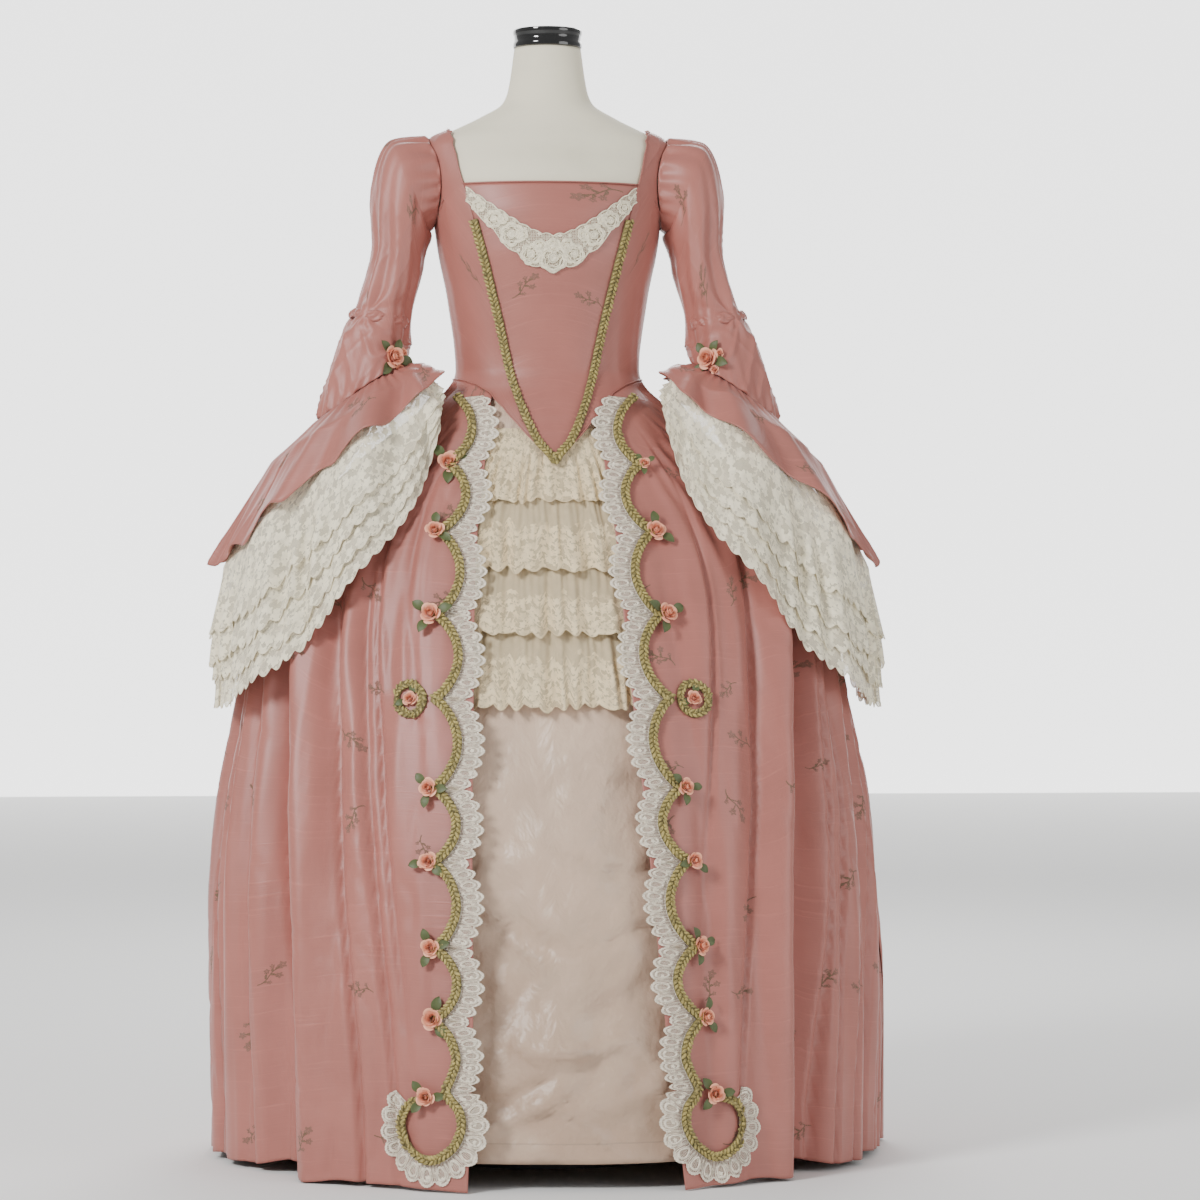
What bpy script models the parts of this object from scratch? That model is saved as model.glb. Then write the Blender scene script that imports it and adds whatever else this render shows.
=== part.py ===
"""Ball gown of an eighteenth-century cut, on a limbless dress form with a stand.

Front is -Y, up is +Z, metres. The origin is on the floor, under the middle of the gown.
Every cloth piece is a thin wall on one of three carriers: the gown's own surface, the petticoat
inside it, and the sleeves. Trims are made from the points of the cloth that they lie on, moved out.
"""

import math

import bpy
import numpy as np

# Cloth and trim thicknesses, and the gap that neighbouring pieces keep.
CLOTH = 0.002
LACE = 0.0010
BRAID_THICK = 0.0032
SEAM_GAP = 0.0005
LAID_GAP = 0.0007

# Heights of the gown's main lines.
WAIST = 1.077
POINT = 0.963
NECKLINE = 1.343
UNDERARM = 1.29

# The gown's outer surface at rest, before its folds: height, half width, depth in front, depth behind.
GOWN_ROWS = (
    (0.000, 0.489, 0.420, 0.455),
    (0.150, 0.489, 0.408, 0.447),
    (0.330, 0.485, 0.382, 0.428),
    (0.480, 0.471, 0.350, 0.400),
    (0.590, 0.450, 0.318, 0.372),
    (0.712, 0.424, 0.272, 0.334),
    (0.810, 0.390, 0.228, 0.292),
    (0.890, 0.340, 0.190, 0.248),
    (0.950, 0.281, 0.160, 0.208),
    (1.000, 0.219, 0.138, 0.172),
    (1.040, 0.166, 0.119, 0.136),
    (1.065, 0.137, 0.105, 0.107),
    (1.090, 0.1292, 0.0970, 0.0950),
    (1.189, 0.1405, 0.1080, 0.1010),
    (1.255, 0.1535, 0.1200, 0.1060),
    (1.300, 0.1595, 0.1200, 0.1070),
    (1.343, 0.1650, 0.1100, 0.1030),
    (1.375, 0.1710, 0.0960, 0.0930),
    (1.400, 0.1745, 0.0800, 0.0790),
    (1.415, 0.1640, 0.0720, 0.0720),
    (1.430, 0.1310, 0.0640, 0.0650),
    (1.445, 0.0980, 0.0580, 0.0600),
    (1.465, 0.0655, 0.0530, 0.0560),
    (1.482, 0.0585, 0.0510, 0.0540),
    (1.540, 0.0495, 0.0485, 0.0500),
)
# How far the form's skin lies inside the gown's outer surface, by height.
FORM_INSET = ((1.077, 0.0128), (1.100, 0.0116), (1.130, 0.0050), (1.300, 0.0036), (1.360, 0.0034),
              (1.405, 0.0054), (1.425, 0.0046), (1.450, 0.0032), (1.540, 0.0030))
# The form's hips, which the skirts hide: height, half width, depth in front, depth behind.
HIP_ROWS = (
    (0.800, 0.120, 0.078, 0.090),
    (0.806, 0.132, 0.086, 0.100),
    (0.900, 0.150, 0.098, 0.116),
    (0.980, 0.148, 0.098, 0.110),
    (1.040, 0.132, 0.0945, 0.096),
)
NECK_TOP = 1.540
POLE_RADIUS = 0.014
BASE_RADIUS = 0.19

# How far the petticoat lies inside the gown's surface, by height: in front, and added at the sides.
PETTICOAT_INSET = (
    (0.000, 0.030, 0.085),
    (0.600, 0.030, 0.085),
    (0.750, 0.029, 0.076),
    (0.880, 0.024, 0.048),
    (0.950, 0.016, 0.026),
    (1.000, 0.0110, 0.012),
    (1.040, 0.0088, 0.003),
    (1.065, 0.0066, 0.0),
    (1.078, 0.0047, 0.0),
    (1.090, 0.0038, 0.0),
)
# The overskirt's front edges: height, azimuth of the left edge and of the right one, in degrees.
FRONT_EDGES = (
    (0.000, -15.5, 18.5),
    (0.250, -14.5, 15.0),
    (0.520, -15.0, 13.0),
    (0.750, -16.0, 12.0),
    (0.900, -18.0, 13.0),
    (0.960, -20.5, 14.5),
    (1.020, -27.0, 20.0),
    (1.060, -35.0, 28.0),
)
# The bodice's lower edge: azimuth, height. The same both ways from the middle. The rows from 1.6 to 90
# degrees are the columns of the bodice's fronts.
LOWER_EDGE = (
    (0.0, 0.9630),
    (1.6, 0.9665),
    (7.0, 0.9860),
    (14.0, 1.0100),
    (23.0, 1.0330),
    (35.0, 1.0540),
    (49.0, 1.0665),
    (63.0, 1.0730),
    (76.0, 1.0760),
    (90.0, 1.0770),
    (130.0, 1.0750),
    (180.0, 1.0620),
)
# Folds of the overskirt: azimuth at the waist, azimuth at the hem, half width at the hem in degrees,
# depth in metres (a ridge is negative), and the height where the fold has come to half its depth.
FOLDS = (
    (-47, -21, 5.0, 0.007, 0.80),
    (-53, -29, 5.0, 0.014, 0.78),
    (-60, -38.5, 5.5, 0.021, 0.80),
    (-69, -46.5, 4.0, -0.010, 0.70),
    (-77, -55.5, 7.0, 0.062, 0.76),
    (-84, -68.5, 6.0, 0.026, 0.80),
    (-92, -80.0, 6.0, 0.032, 0.78),
    (-99, -91.0, 5.5, 0.024, 0.80),
    (42, 24.5, 4.5, 0.009, 0.80),
    (50, 33.0, 5.0, 0.022, 0.82),
    (58, 39.5, 3.2, -0.008, 0.70),
    (67, 46.5, 6.0, 0.062, 0.84),
    (76, 58.0, 6.0, 0.024, 0.84),
    (85, 70.0, 6.5, 0.034, 0.78),
    (92, 80.5, 5.5, 0.020, 0.80),
    (99, 91.0, 5.5, 0.028, 0.80),
)
BACK_FOLDS = 6
BACK_FOLD_DEPTH = 0.036


def smooth_curve(table, column):
    """A smooth curve through one column of a table, against its first column."""
    at = np.array([row[0] for row in table], float)
    value = np.array([row[column] for row in table], float)
    step = np.diff(value) / np.diff(at)
    slope = np.zeros(len(at))
    rising = step[1:] * step[:-1] > 0
    slope[1:-1][rising] = 2 * step[1:][rising] * step[:-1][rising] / (step[1:] + step[:-1])[rising]
    slope[0], slope[-1] = step[0], step[-1]

    def curve(x):
        x = np.clip(x, at[0], at[-1])
        i = np.clip(np.searchsorted(at, x) - 1, 0, len(at) - 2)
        wide = at[i + 1] - at[i]
        t = (x - at[i]) / wide
        from_left = value[i] * (1 + 2 * t) * (1 - t) ** 2 + slope[i] * wide * t * (1 - t) ** 2
        from_right = value[i + 1] * t * t * (3 - 2 * t) + slope[i + 1] * wide * t * t * (t - 1)
        return from_left + from_right

    return curve


def ease(x):
    """0 below 0, 1 above 1, and a smooth step between."""
    x = np.clip(x, 0.0, 1.0)
    return x * x * (3 - 2 * x)


GOWN = [smooth_curve(GOWN_ROWS, column) for column in (1, 2, 3)]
HIPS = [smooth_curve(HIP_ROWS, column) for column in (1, 2, 3)]
form_inset = smooth_curve(FORM_INSET, 1)
petticoat_front = smooth_curve(PETTICOAT_INSET, 1)
petticoat_side = smooth_curve(PETTICOAT_INSET, 2)
left_edge = smooth_curve(FRONT_EDGES, 1)
right_edge = smooth_curve(FRONT_EDGES, 2)


def oval(phi, z, rows, lift):
    """A point on an oval section. phi is in radians from the middle of the front, towards +X."""
    half_width, front, back = (curve(z) for curve in rows)
    depth = np.where(np.cos(phi) > 0, front, back)
    return np.stack([(half_width + lift) * np.sin(phi), -(depth + lift) * np.cos(phi), z + 0 * phi], -1)


def gown(phi, z, lift=0.0):
    """The gown's outer surface before its folds."""
    return oval(phi, z, GOWN, lift)


def lower_edge(phi):
    """The height of the bodice's lower edge at an azimuth in radians."""
    degrees, heights = zip(*LOWER_EDGE)
    return np.interp(np.abs(np.degrees(phi)), degrees, heights)


def fold_depth(phi, z):
    """How far the overskirt's folds move its surface inwards."""
    degrees = np.degrees(phi)
    down = (WAIST - z) / WAIST
    total = 0 * degrees
    for at_waist, at_hem, half_width, depth, half_height in FOLDS:
        centre = at_waist + (at_hem - at_waist) * ease(down / 0.75) ** 0.7
        width = half_width * (0.55 + 0.45 * down)
        share = ease((WAIST - z) / (2 * (WAIST - half_height)))
        total = total + depth * share * np.exp(-(((degrees - centre) / width) ** 2))
    around = (np.abs(degrees) - 96.0) / 84.0
    pleat = 0.5 - 0.5 * np.cos(2 * math.pi * BACK_FOLDS * np.clip(around, 0, 1))
    share = ease((WAIST - z) / 0.55) * ease(around * 6)
    return total + BACK_FOLD_DEPTH * share * pleat


def overskirt(phi, z, lift=0.0):
    """The overskirt's outer surface, with its folds."""
    return gown(phi, z, lift - fold_depth(phi, z))


def petticoat_lift(phi, z):
    """The petticoat's distance from the gown's surface, below 0 because it lies inside."""
    side = ease((np.abs(np.degrees(phi)) - 24.0) / 22.0)
    soft = 0.004 * np.sin(phi * 9 + 2.2 * z) * ease((0.62 - z) / 0.3) * (1 + 1.2 * side)
    return -petticoat_front(z) - petticoat_side(z) * side + soft


def petticoat(phi, z, lift=0.0):
    """The petticoat's outer surface."""
    return gown(phi, z, lift + petticoat_lift(phi, z))


def normals(surface, u, v, step=1e-4):
    """The outward unit normals of a surface of two parameters."""
    across = surface(u + step, v) - surface(u - step, v)
    up = surface(u, v + step) - surface(u, v - step)
    found = np.cross(across, up)
    return found / np.maximum(np.linalg.norm(found, axis=-1, keepdims=True), 1e-12)


def material(name, colour, roughness, metallic=0.0):
    """A Principled material with this base colour."""
    found = bpy.data.materials.new(name)
    found.use_nodes = True
    shader = found.node_tree.nodes["Principled BSDF"]
    shader.inputs["Base Color"].default_value = (*colour, 1.0)
    shader.inputs["Roughness"].default_value = roughness
    shader.inputs["Metallic"].default_value = metallic
    return found


def add_object(name, points, faces, finish):
    """One named object from points and faces."""
    mesh = bpy.data.meshes.new(name)
    mesh.from_pydata([tuple(map(float, p)) for p in points], [], [tuple(map(int, f)) for f in faces])
    mesh.materials.append(finish)
    mesh.shade_smooth()
    mesh.set_sharp_from_angle(angle=math.radians(40))
    made = bpy.data.objects.new(name, mesh)
    bpy.context.scene.collection.objects.link(made)
    return made


def wall(name, outer, inner, faces, finish):
    """A closed wall between two skins that share the same faces, with a rim round every edge and hole."""
    count = len(outer)
    every = [tuple(face) for face in faces]
    every += [tuple(count + k for k in reversed(face)) for face in faces]
    edges = {(a, b) for face in faces for a, b in zip(face, (*face[1:], face[0]))}
    for a, b in sorted(edges):
        if (b, a) not in edges:
            every.append((b, a, count + a))
            every.append((b, count + a, count + b))
    return add_object(name, np.concatenate([outer, inner]), every, finish)


def grid_faces(points, closed, one_way=False):
    """Triangles over a grid of points, each square cut along its shorter diagonal, or all of them one way."""
    rows, columns = points.shape[:2]
    flat = points.reshape(-1, 3)
    faces = []
    for row in range(rows - 1):
        for column in range(columns if closed else columns - 1):
            after = (column + 1) % columns
            a, b = row * columns + column, row * columns + after
            d, c = a + columns, b + columns
            if one_way or np.linalg.norm(flat[a] - flat[c]) <= np.linalg.norm(flat[b] - flat[d]):
                faces += [(a, b, c), (a, c, d)]
            else:
                faces += [(a, b, d), (b, c, d)]
    return faces


def cloth(name, surface, u, v, thickness, finish, closed=False, lift=0.0, facing=None):
    """A cloth wall on a surface of two parameters, whose grids are u and v, its outer skin moved out by lift.

    The wall's direction is the surface's normal, unless facing gives another."""
    way = normals(surface, u, v) if facing is None else facing(u, v)
    outer = surface(u, v) + lift * way
    inner = outer - thickness * way
    faces = grid_faces(outer, closed, one_way=facing is not None)
    return wall(name, outer.reshape(-1, 3), inner.reshape(-1, 3), faces, finish)


def solid_rings(name, rings, finish):
    """A closed solid through rings of points, from the lowest one up."""
    rows, columns = rings.shape[:2]
    faces = grid_faces(rings, True)
    faces.append(tuple(reversed(range(columns))))
    faces.append(tuple((rows - 1) * columns + k for k in range(columns)))
    return add_object(name, rings.reshape(-1, 3), faces, finish)


def turned(name, profile, segments, finish):
    """A turned solid from rows of radius and height, listed from the lowest up."""
    turn = np.linspace(0, 2 * math.pi, segments, endpoint=False)
    rings = np.array([[(r * math.cos(a), r * math.sin(a), z) for a in turn] for r, z in profile])
    return solid_rings(name, rings, finish)


def form_rings(heights, columns):
    """Rings of the form's skin, which lies inside the gown."""
    phi = np.linspace(-math.pi, math.pi, columns, endpoint=False)
    rings = []
    for z in heights:
        if z < HIP_ROWS[-1][0] + 0.001:
            rings.append(oval(phi, np.full(columns, z), HIPS, 0.0))
            continue
        level = np.full(columns, z)
        rings.append(gown(phi, level) - form_inset(z) * normals(gown, phi, level))
    return np.array(rings)


FORM_HEIGHTS = (0.800, 0.806, 0.920, 1.040, 1.077, 1.130, 1.255, 1.300, 1.343,
                1.375, 1.400, 1.420, 1.440, 1.465, 1.490, 1.540)
CAP_PROFILE = ((0.0465, 0.0), (0.0480, 0.001), (0.0480, 0.007), (0.0466, 0.009),
               (0.0466, 0.017), (0.0484, 0.019), (0.0484, 0.0245), (0.0470, 0.026))
TOUCH = 0.0003
SHOULDER_HALF_GAP = 0.004


def build_form(cover, gloss, metal):
    """The limbless form, its neck cap, pole and base."""
    solid_rings("form_torso", form_rings(FORM_HEIGHTS, 20), cover)
    cap_foot = NECK_TOP + TOUCH
    turned("form_neck_cap", [(r, cap_foot + z) for r, z in CAP_PROFILE], 18, gloss)
    foot = ((BASE_RADIUS, 0.0), (BASE_RADIUS, 0.008), (BASE_RADIUS - 0.012, 0.013),
            (0.045, 0.020), (0.030, 0.030), (0.028, 0.055))
    turned("stand_base", foot, 20, metal)
    turned("stand_pole", ((POLE_RADIUS, 0.055 + TOUCH), (POLE_RADIUS, HIP_ROWS[0][0] - TOUCH)), 12, metal)


# The line where the stomacher meets the bodice's fronts: height, distance from the middle. Its rows are
# the rows of both.
POINT_LINE = (
    (0.9665, 0.0060),
    (0.9850, 0.0225),
    (1.0100, 0.0340),
    (1.0420, 0.0460),
    (1.0770, 0.0560),
    (1.1500, 0.0712),
    (1.2400, 0.0930),
    (1.3000, 0.1092),
    (1.3430, 0.1210),
)
# The armhole: its middle's height, half height and half depth.
ARMHOLE_Z, ARMHOLE_HIGH, ARMHOLE_DEEP = 1.351, 0.062, 0.046
# The strap's edge along the neckline: height, distance from the middle; it ends on the shoulder line.
STRAP_EDGE = ((1.343, 0.1225), (1.352, 0.124), (1.368, 0.128), (1.388, 0.1315), (1.408, 0.134),
              (1.420, 0.1355))
SHOULDER_Z = 1.4275


def azimuth_at(x, z):
    """The azimuth where the gown's surface is at a distance x from the middle."""
    return np.arcsin(np.clip(x / GOWN[0](z), -1, 1))


def armhole(alpha, behind=False):
    """Azimuth and height on the armhole, at an angle from its top."""
    z = ARMHOLE_Z + ARMHOLE_HIGH * math.cos(alpha)
    y = ARMHOLE_DEEP * math.sin(alpha)
    depth = GOWN[2 if behind else 1](z)
    phi = math.acos(min(1.0, y / depth))
    return (math.pi - phi if behind else phi), z


FRONT_FOOT = tuple(row[0] for row in LOWER_EDGE[1:10])
BACK_SHARES = (0.0, 0.133, 0.266, 0.40, 0.533, 0.65, 0.77, 0.885, 1.0)
BACK_FIRST = 4


def front_body(shares):
    """Azimuth and height of a bodice front's points below the armhole, a row for each of the point line."""
    foot = np.array(FRONT_FOOT)
    foot = (foot - foot[0]) / (90 - foot[0])
    even = np.linspace(0, 1, len(foot))
    phi, z = [], []
    for share, (inner_z, inner_x) in zip(shares, POINT_LINE):
        inner_phi = azimuth_at(inner_x, inner_z) + SEAM_GAP / 2 / GOWN[1](inner_z)
        outer_z = LOWER_EDGE[9][1] + (UNDERARM - LOWER_EDGE[9][1]) * share
        across = foot + (even - foot) * math.sqrt(share)
        around = inner_phi + (math.pi / 2 - SEAM_GAP / 2 / 0.11 - inner_phi) * across
        start, end = lower_edge(inner_phi), lower_edge(math.pi / 2)
        rise = (lower_edge(around) - start) / (end - start)
        phi.append(around)
        z.append(inner_z + (outer_z - inner_z) * ((1 - share) * rise + share * across))
    return phi, z


def back_body(shares):
    """Azimuth and height of a bodice back's points below the armhole."""
    across = np.array(BACK_SHARES)
    first = across[BACK_FIRST]
    phi, z = [], []
    for share in shares:
        inner_z = lower_edge(math.pi) + (NECKLINE - lower_edge(math.pi)) * share
        outer_z = LOWER_EDGE[9][1] + (UNDERARM - LOWER_EDGE[9][1]) * share
        around = math.pi - SEAM_GAP / 2 / 0.11 - (math.pi / 2 - SEAM_GAP / 0.11) * across
        foot = lower_edge(around) + (NECKLINE - lower_edge(math.pi)) * share
        level = np.clip((across - first) / (1 - first), 0, 1)
        drop = (outer_z - inner_z) * level
        at_foot = (outer_z - inner_z - (lower_edge(math.pi / 2) - lower_edge(math.pi))) * level
        phi.append(around)
        z.append(foot * (1 - share) + share * inner_z + drop * share + (1 - share) * at_foot)
    return phi, z


def strap(wide, behind):
    """Azimuth and height of a strap's points, from just over the neckline to the shoulder line."""
    across = np.linspace(0, 1, wide)
    phi, z = [], []
    for step, (height, x) in enumerate(STRAP_EDGE[1:], 1):
        inner_phi = azimuth_at(x, height)
        inner_phi = math.pi - inner_phi if behind else inner_phi
        outer_phi, outer_z = armhole(math.pi * (1 - step / len(STRAP_EDGE)), behind)
        phi.append(inner_phi + (outer_phi - inner_phi) * across)
        z.append(height + (outer_z - height) * across)
    phi.append(np.full(wide, math.pi / 2 + SHOULDER_HALF_GAP * (1 if behind else -1)))
    z.append(SHOULDER_Z + (ARMHOLE_Z + ARMHOLE_HIGH - SHOULDER_Z) * across)
    return phi, z


def bodice_panel(name, side, behind, finish):
    """A bodice front or back with its strap, from the lower edge to the shoulder line, as one wall."""
    low, high = POINT_LINE[0][0], POINT_LINE[-1][0]
    shares = [(row[0] - low) / (high - low) for row in POINT_LINE]
    body_phi, body_z = back_body(shares) if behind else front_body(shares)
    columns, rows = len(body_phi[0]), len(shares)
    first = BACK_FIRST if behind else 0
    wide = columns - first
    strap_phi, strap_z = strap(wide, behind)
    phi = np.concatenate([*body_phi, *strap_phi])
    z = np.concatenate([*body_z, *strap_z])
    if side < 0:
        phi = -phi
    outer = gown(phi, z)
    inner = outer - CLOTH * normals(gown, phi, z)
    body_at = np.arange(rows * columns).reshape(rows, columns)
    strap_at = rows * columns + np.arange(len(strap_phi) * wide).reshape(-1, wide)
    strap_at = np.concatenate([body_at[-1:, first:], strap_at])
    faces = []
    for at in (body_at, strap_at):
        faces += [tuple(at.reshape(-1)[k] for k in face) for face in grid_faces(outer[at], False)]
    if (side < 0) != behind:
        faces = [face[::-1] for face in faces]
    return wall(name, outer, inner, faces, finish)


def build_bodice(silk):
    """Stomacher, two fronts and two backs."""
    levels = np.array([row[0] for row in POINT_LINE])
    half = np.array([azimuth_at(x, z) for z, x in POINT_LINE]) - SEAM_GAP / 2 / GOWN[1](levels)
    phi = half[:, None] * np.linspace(-1, 1, 9)[None, :]
    cloth("stomacher", gown, phi, levels[:, None] + 0 * phi, CLOTH, silk)
    for side, word in ((-1, "left"), (1, "right")):
        bodice_panel(f"bodice_front_{word}", side, False, silk)
        bodice_panel(f"bodice_back_{word}", side, True, silk)


FRONT_SHARES = (0.0, 0.18, 0.37, 0.55, 0.71, 0.83, 0.92, 0.97, 1.0)
BACK_ROWS = (0.0, 0.24, 0.46, 0.64, 0.78, 0.89, 0.96, 1.0)
SIDE_SEAM_AT_HEM, SIDE_SEAM_AT_WAIST = 96.5, 101.0
FRONT_COLUMNS, REAR_COLUMNS = 29, 22
HEM_LIFT_SHARE = 0.30


def side_seam(z):
    """The overskirt's side seam, an azimuth in degrees."""
    return SIDE_SEAM_AT_HEM + (SIDE_SEAM_AT_WAIST - SIDE_SEAM_AT_HEM) * z / WAIST


def front_edge(side, z):
    """The overskirt's front edge on one side, an azimuth in degrees away from the middle."""
    return np.where(side < 0, -left_edge(z), right_edge(z))


def skirt_height(phi, share):
    """The height at a share of the way from the overskirt's hem to the bodice."""
    hem = HEM_LIFT_SHARE * np.clip(fold_depth(phi, 0.0), 0, None)
    top = lower_edge(phi) - SEAM_GAP
    return hem + (top - hem) * share


def front_azimuth(side, u, z):
    """The azimuth in radians, signed, at a share u of the way from the front edge to the side seam."""
    start = front_edge(side, z)
    return np.radians(side * (start + (side_seam(z) - start) * u))


def front_grid(side, u, share):
    """Azimuth and height of an overskirt front's points.

    Height and azimuth depend on each other, so they are settled together."""
    phi = front_azimuth(side, u, WAIST * share)
    for _ in range(6):
        z = skirt_height(phi, share)
        phi = front_azimuth(side, u, z)
    return phi, z


def overskirt_front(side):
    """Azimuth and height of one overskirt front's points, a row at each share of the height."""
    u = np.linspace(0, 1 - SEAM_GAP / 2 / 0.17, FRONT_COLUMNS)[None, :]
    return front_grid(side, u, np.array(FRONT_SHARES)[:, None])


def build_overskirt(silk):
    """Two fronts and two backs, parted at the side seams and at the middle of the back."""
    shares = np.array(BACK_ROWS)[:, None]
    for side, word in ((-1, "left"), (1, "right")):
        order = slice(None, None, side)
        phi, z = overskirt_front(side)
        cloth(f"overskirt_front_{word}", overskirt, phi[:, order], z[:, order], CLOTH, silk)
        around = np.linspace(0, 1, REAR_COLUMNS)[None, :]
        start = np.radians(side_seam(WAIST * shares)) + SEAM_GAP / 0.12
        phi = side * (start + (math.pi - SEAM_GAP / 0.20 - start) * around)
        z = skirt_height(phi, shares)
        cloth(f"overskirt_back_{word}", overskirt, phi[:, order], z[:, order], CLOTH, silk)


PETTICOAT_HEIGHTS = (0.034, 0.34, 0.60, 0.752, 0.838, 0.900, 0.950, 1.000, 1.036, 1.059, 1.074, 1.088)


def build_petticoat(satin):
    """The petticoat, one tube from under the bodice to the hem."""
    front = np.linspace(-32, 32, 8, endpoint=False)
    behind = np.linspace(32, 328, 21, endpoint=False)
    phi = np.radians(np.append(front, behind))[None, :]
    z = np.array(PETTICOAT_HEIGHTS)[:, None]
    phi, z = phi + 0 * z, z + 0 * phi
    cloth("petticoat", petticoat, phi, z, CLOTH * 0.6, satin, closed=True)


# The petticoat's lace flounces: height of the top, height of the lower edge, waves, how far its lower
# edge stands off, height of its waves.
FLOUNCES = (
    (0.974, 0.906, 5, 0.0125, 0.0016),
    (0.950, 0.812, 5, 0.0150, 0.0036),
    (0.838, 0.726, 6, 0.0150, 0.0038),
    (0.752, 0.628, 6, 0.0150, 0.0038),
)
FLOUNCE_UNDERLAP = 5.0


def flounce_surface(row):
    """The surface of one petticoat flounce, of azimuth and height."""
    top, bottom, waves, stand_off, wave_height = row

    def surface(phi, z):
        down = np.clip((top - z) / (top - bottom), 0, 1)
        wave = wave_height * down * np.sin(np.degrees(phi) / 46.0 * 2 * math.pi * waves)
        return petticoat(phi, z, LAID_GAP + LACE + stand_off * down**0.8 + wave)

    return surface


def build_flounces(lace):
    """The tiers of gathered lace on the petticoat's front, tucked under the overskirt's edges."""
    for number, row in enumerate(FLOUNCES, 1):
        top, bottom, waves = row[:3]
        z = np.linspace(bottom, top, 3)[:, None]
        columns = 4 * waves + 1
        left = left_edge(z) - FLOUNCE_UNDERLAP
        right = right_edge(z) + FLOUNCE_UNDERLAP
        phi = np.radians(left + (right - left) * np.linspace(0, 1, columns)[None, :])
        cloth(f"petticoat_flounce_{number}", flounce_surface(row), phi, z + 0 * phi, LACE, lace)


# The right sleeve, from the armhole to the seam of its flounce: the ring's middle (x, y, z), the tilt of
# its outer end from straight up in degrees, half width from inside to outside, half depth. The first
# ring lies on the armhole, whatever its row says.
SLEEVE_RINGS = (
    (0.166, 0.000, 1.351, 6.0, 0.062, 0.046),
    (0.193, -0.002, 1.345, 22.0, 0.070, 0.058),
    (0.205, -0.004, 1.310, 48.0, 0.055, 0.060),
    (0.211, -0.006, 1.245, 75.0, 0.036, 0.058),
    (0.226, -0.010, 1.185, 80.0, 0.036, 0.055),
    (0.240, -0.014, 1.140, 78.0, 0.045, 0.054),
    (0.250, -0.020, 1.105, 104.0, 0.056, 0.058),
    (0.261, -0.026, 1.060, 124.0, 0.072, 0.062),
)
SLEEVE_COLUMNS = 12
SLEEVE_CURVES = [smooth_curve([(k, *row) for k, row in enumerate(SLEEVE_RINGS)], c) for c in range(1, 7)]
# The flounce and the lace below the sleeve hang on one carrier, through four lines: its place along
# the carrier, outer end (x, z), inner end (x, z), half depth, sag in the middle, wave height.
CUFF_LINES = (
    (1.0, 0.4500, 0.815, 0.1780, 1.0800, 0.136, 0.020, 0.0190),
    (1.5, 0.4620, 0.716, 0.1760, 1.0730, 0.140, 0.075, 0.0170),
    (2.0, 0.4680, 0.620, 0.1760, 1.0660, 0.142, 0.125, 0.0170),
)
CUFF_WAVES = 7
GATHER_AT, GATHER_OUT, GATHER_WAVE = 0.3, 0.019, 0.008
CUFF_COLUMNS = 21
CUFF_MARGIN = 0.023
LACE_ENDS = (1.5, 1.71, 1.86, 2.0)


def ring(psi, x, y, z, tilt, half_width, half_depth):
    """A point on a tilted ring. psi is 0 at the outer end and a quarter turn at the front."""
    lean = np.radians(tilt)
    out = half_width * np.cos(psi)
    return np.stack([x + out * np.sin(lean), y - half_depth * np.sin(psi), z + out * np.cos(lean)], -1)


def armhole_ring(psi):
    """The sleeve's first ring, 1 mm outside the armhole's edge and just off the bodice."""
    z = ARMHOLE_Z + (ARMHOLE_HIGH + 0.001) * np.cos(psi)
    y = -(ARMHOLE_DEEP + 0.001) * np.sin(psi)
    half_width, front, back = (curve(z) for curve in GOWN)
    depth = np.where(y < 0, front, back)
    x = half_width * np.sqrt(1 - (y / depth) ** 2)
    return np.stack([x + 0.0014, y + 0.0008 * np.sign(y), z], -1)


def sleeve(psi, t):
    """The right sleeve's outer surface. t counts the rings."""
    psi, t = np.broadcast_arrays(psi, t)
    body = ring(psi, *(curve(t) for curve in SLEEVE_CURVES))
    head = np.clip(1 - t, 0, 1)[..., None]
    first = ring(psi, *(np.full(t.shape, value) for value in SLEEVE_RINGS[0]))
    return body + head * (armhole_ring(psi) - first)


def off_skirt(points, psi, margin):
    """The points moved out of the skirt's way: outwards at the outer end, and to the front or the back."""
    x, y, z = points[..., 0], points[..., 1], points[..., 2]
    wide = GOWN[0](z) + margin
    deep = np.where(y < 0, GOWN[1](z), GOWN[2](z)) + margin
    turn = np.abs((psi + math.pi) % (2 * math.pi) - math.pi)
    outward = 1 - ease((np.degrees(turn) - 30) / 50)
    core = 0.2
    away = np.hypot(x - core, y)
    ux, uy = (x - core) / away, y / away
    a = (ux / wide) ** 2 + (uy / deep) ** 2
    b = 2 * core * ux / wide**2
    c = (core / wide) ** 2 - 1
    reach = (-b + np.sqrt(np.maximum(b * b - 4 * a * c, 0))) / (2 * a)
    push = np.clip(reach - away, 0, None) * outward
    x, y = x + ux * push, y + uy * push
    room = 1 - (x / wide) ** 2
    edge = deep * np.sqrt((room + np.sqrt(room**2 + 0.002)) / 2)
    short = edge - np.abs(y)
    y = y + np.where(y < 0, -1, 1) * (short + np.sqrt(short**2 + 0.012**2)) / 2
    return np.stack([x, y, z], -1)


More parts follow.
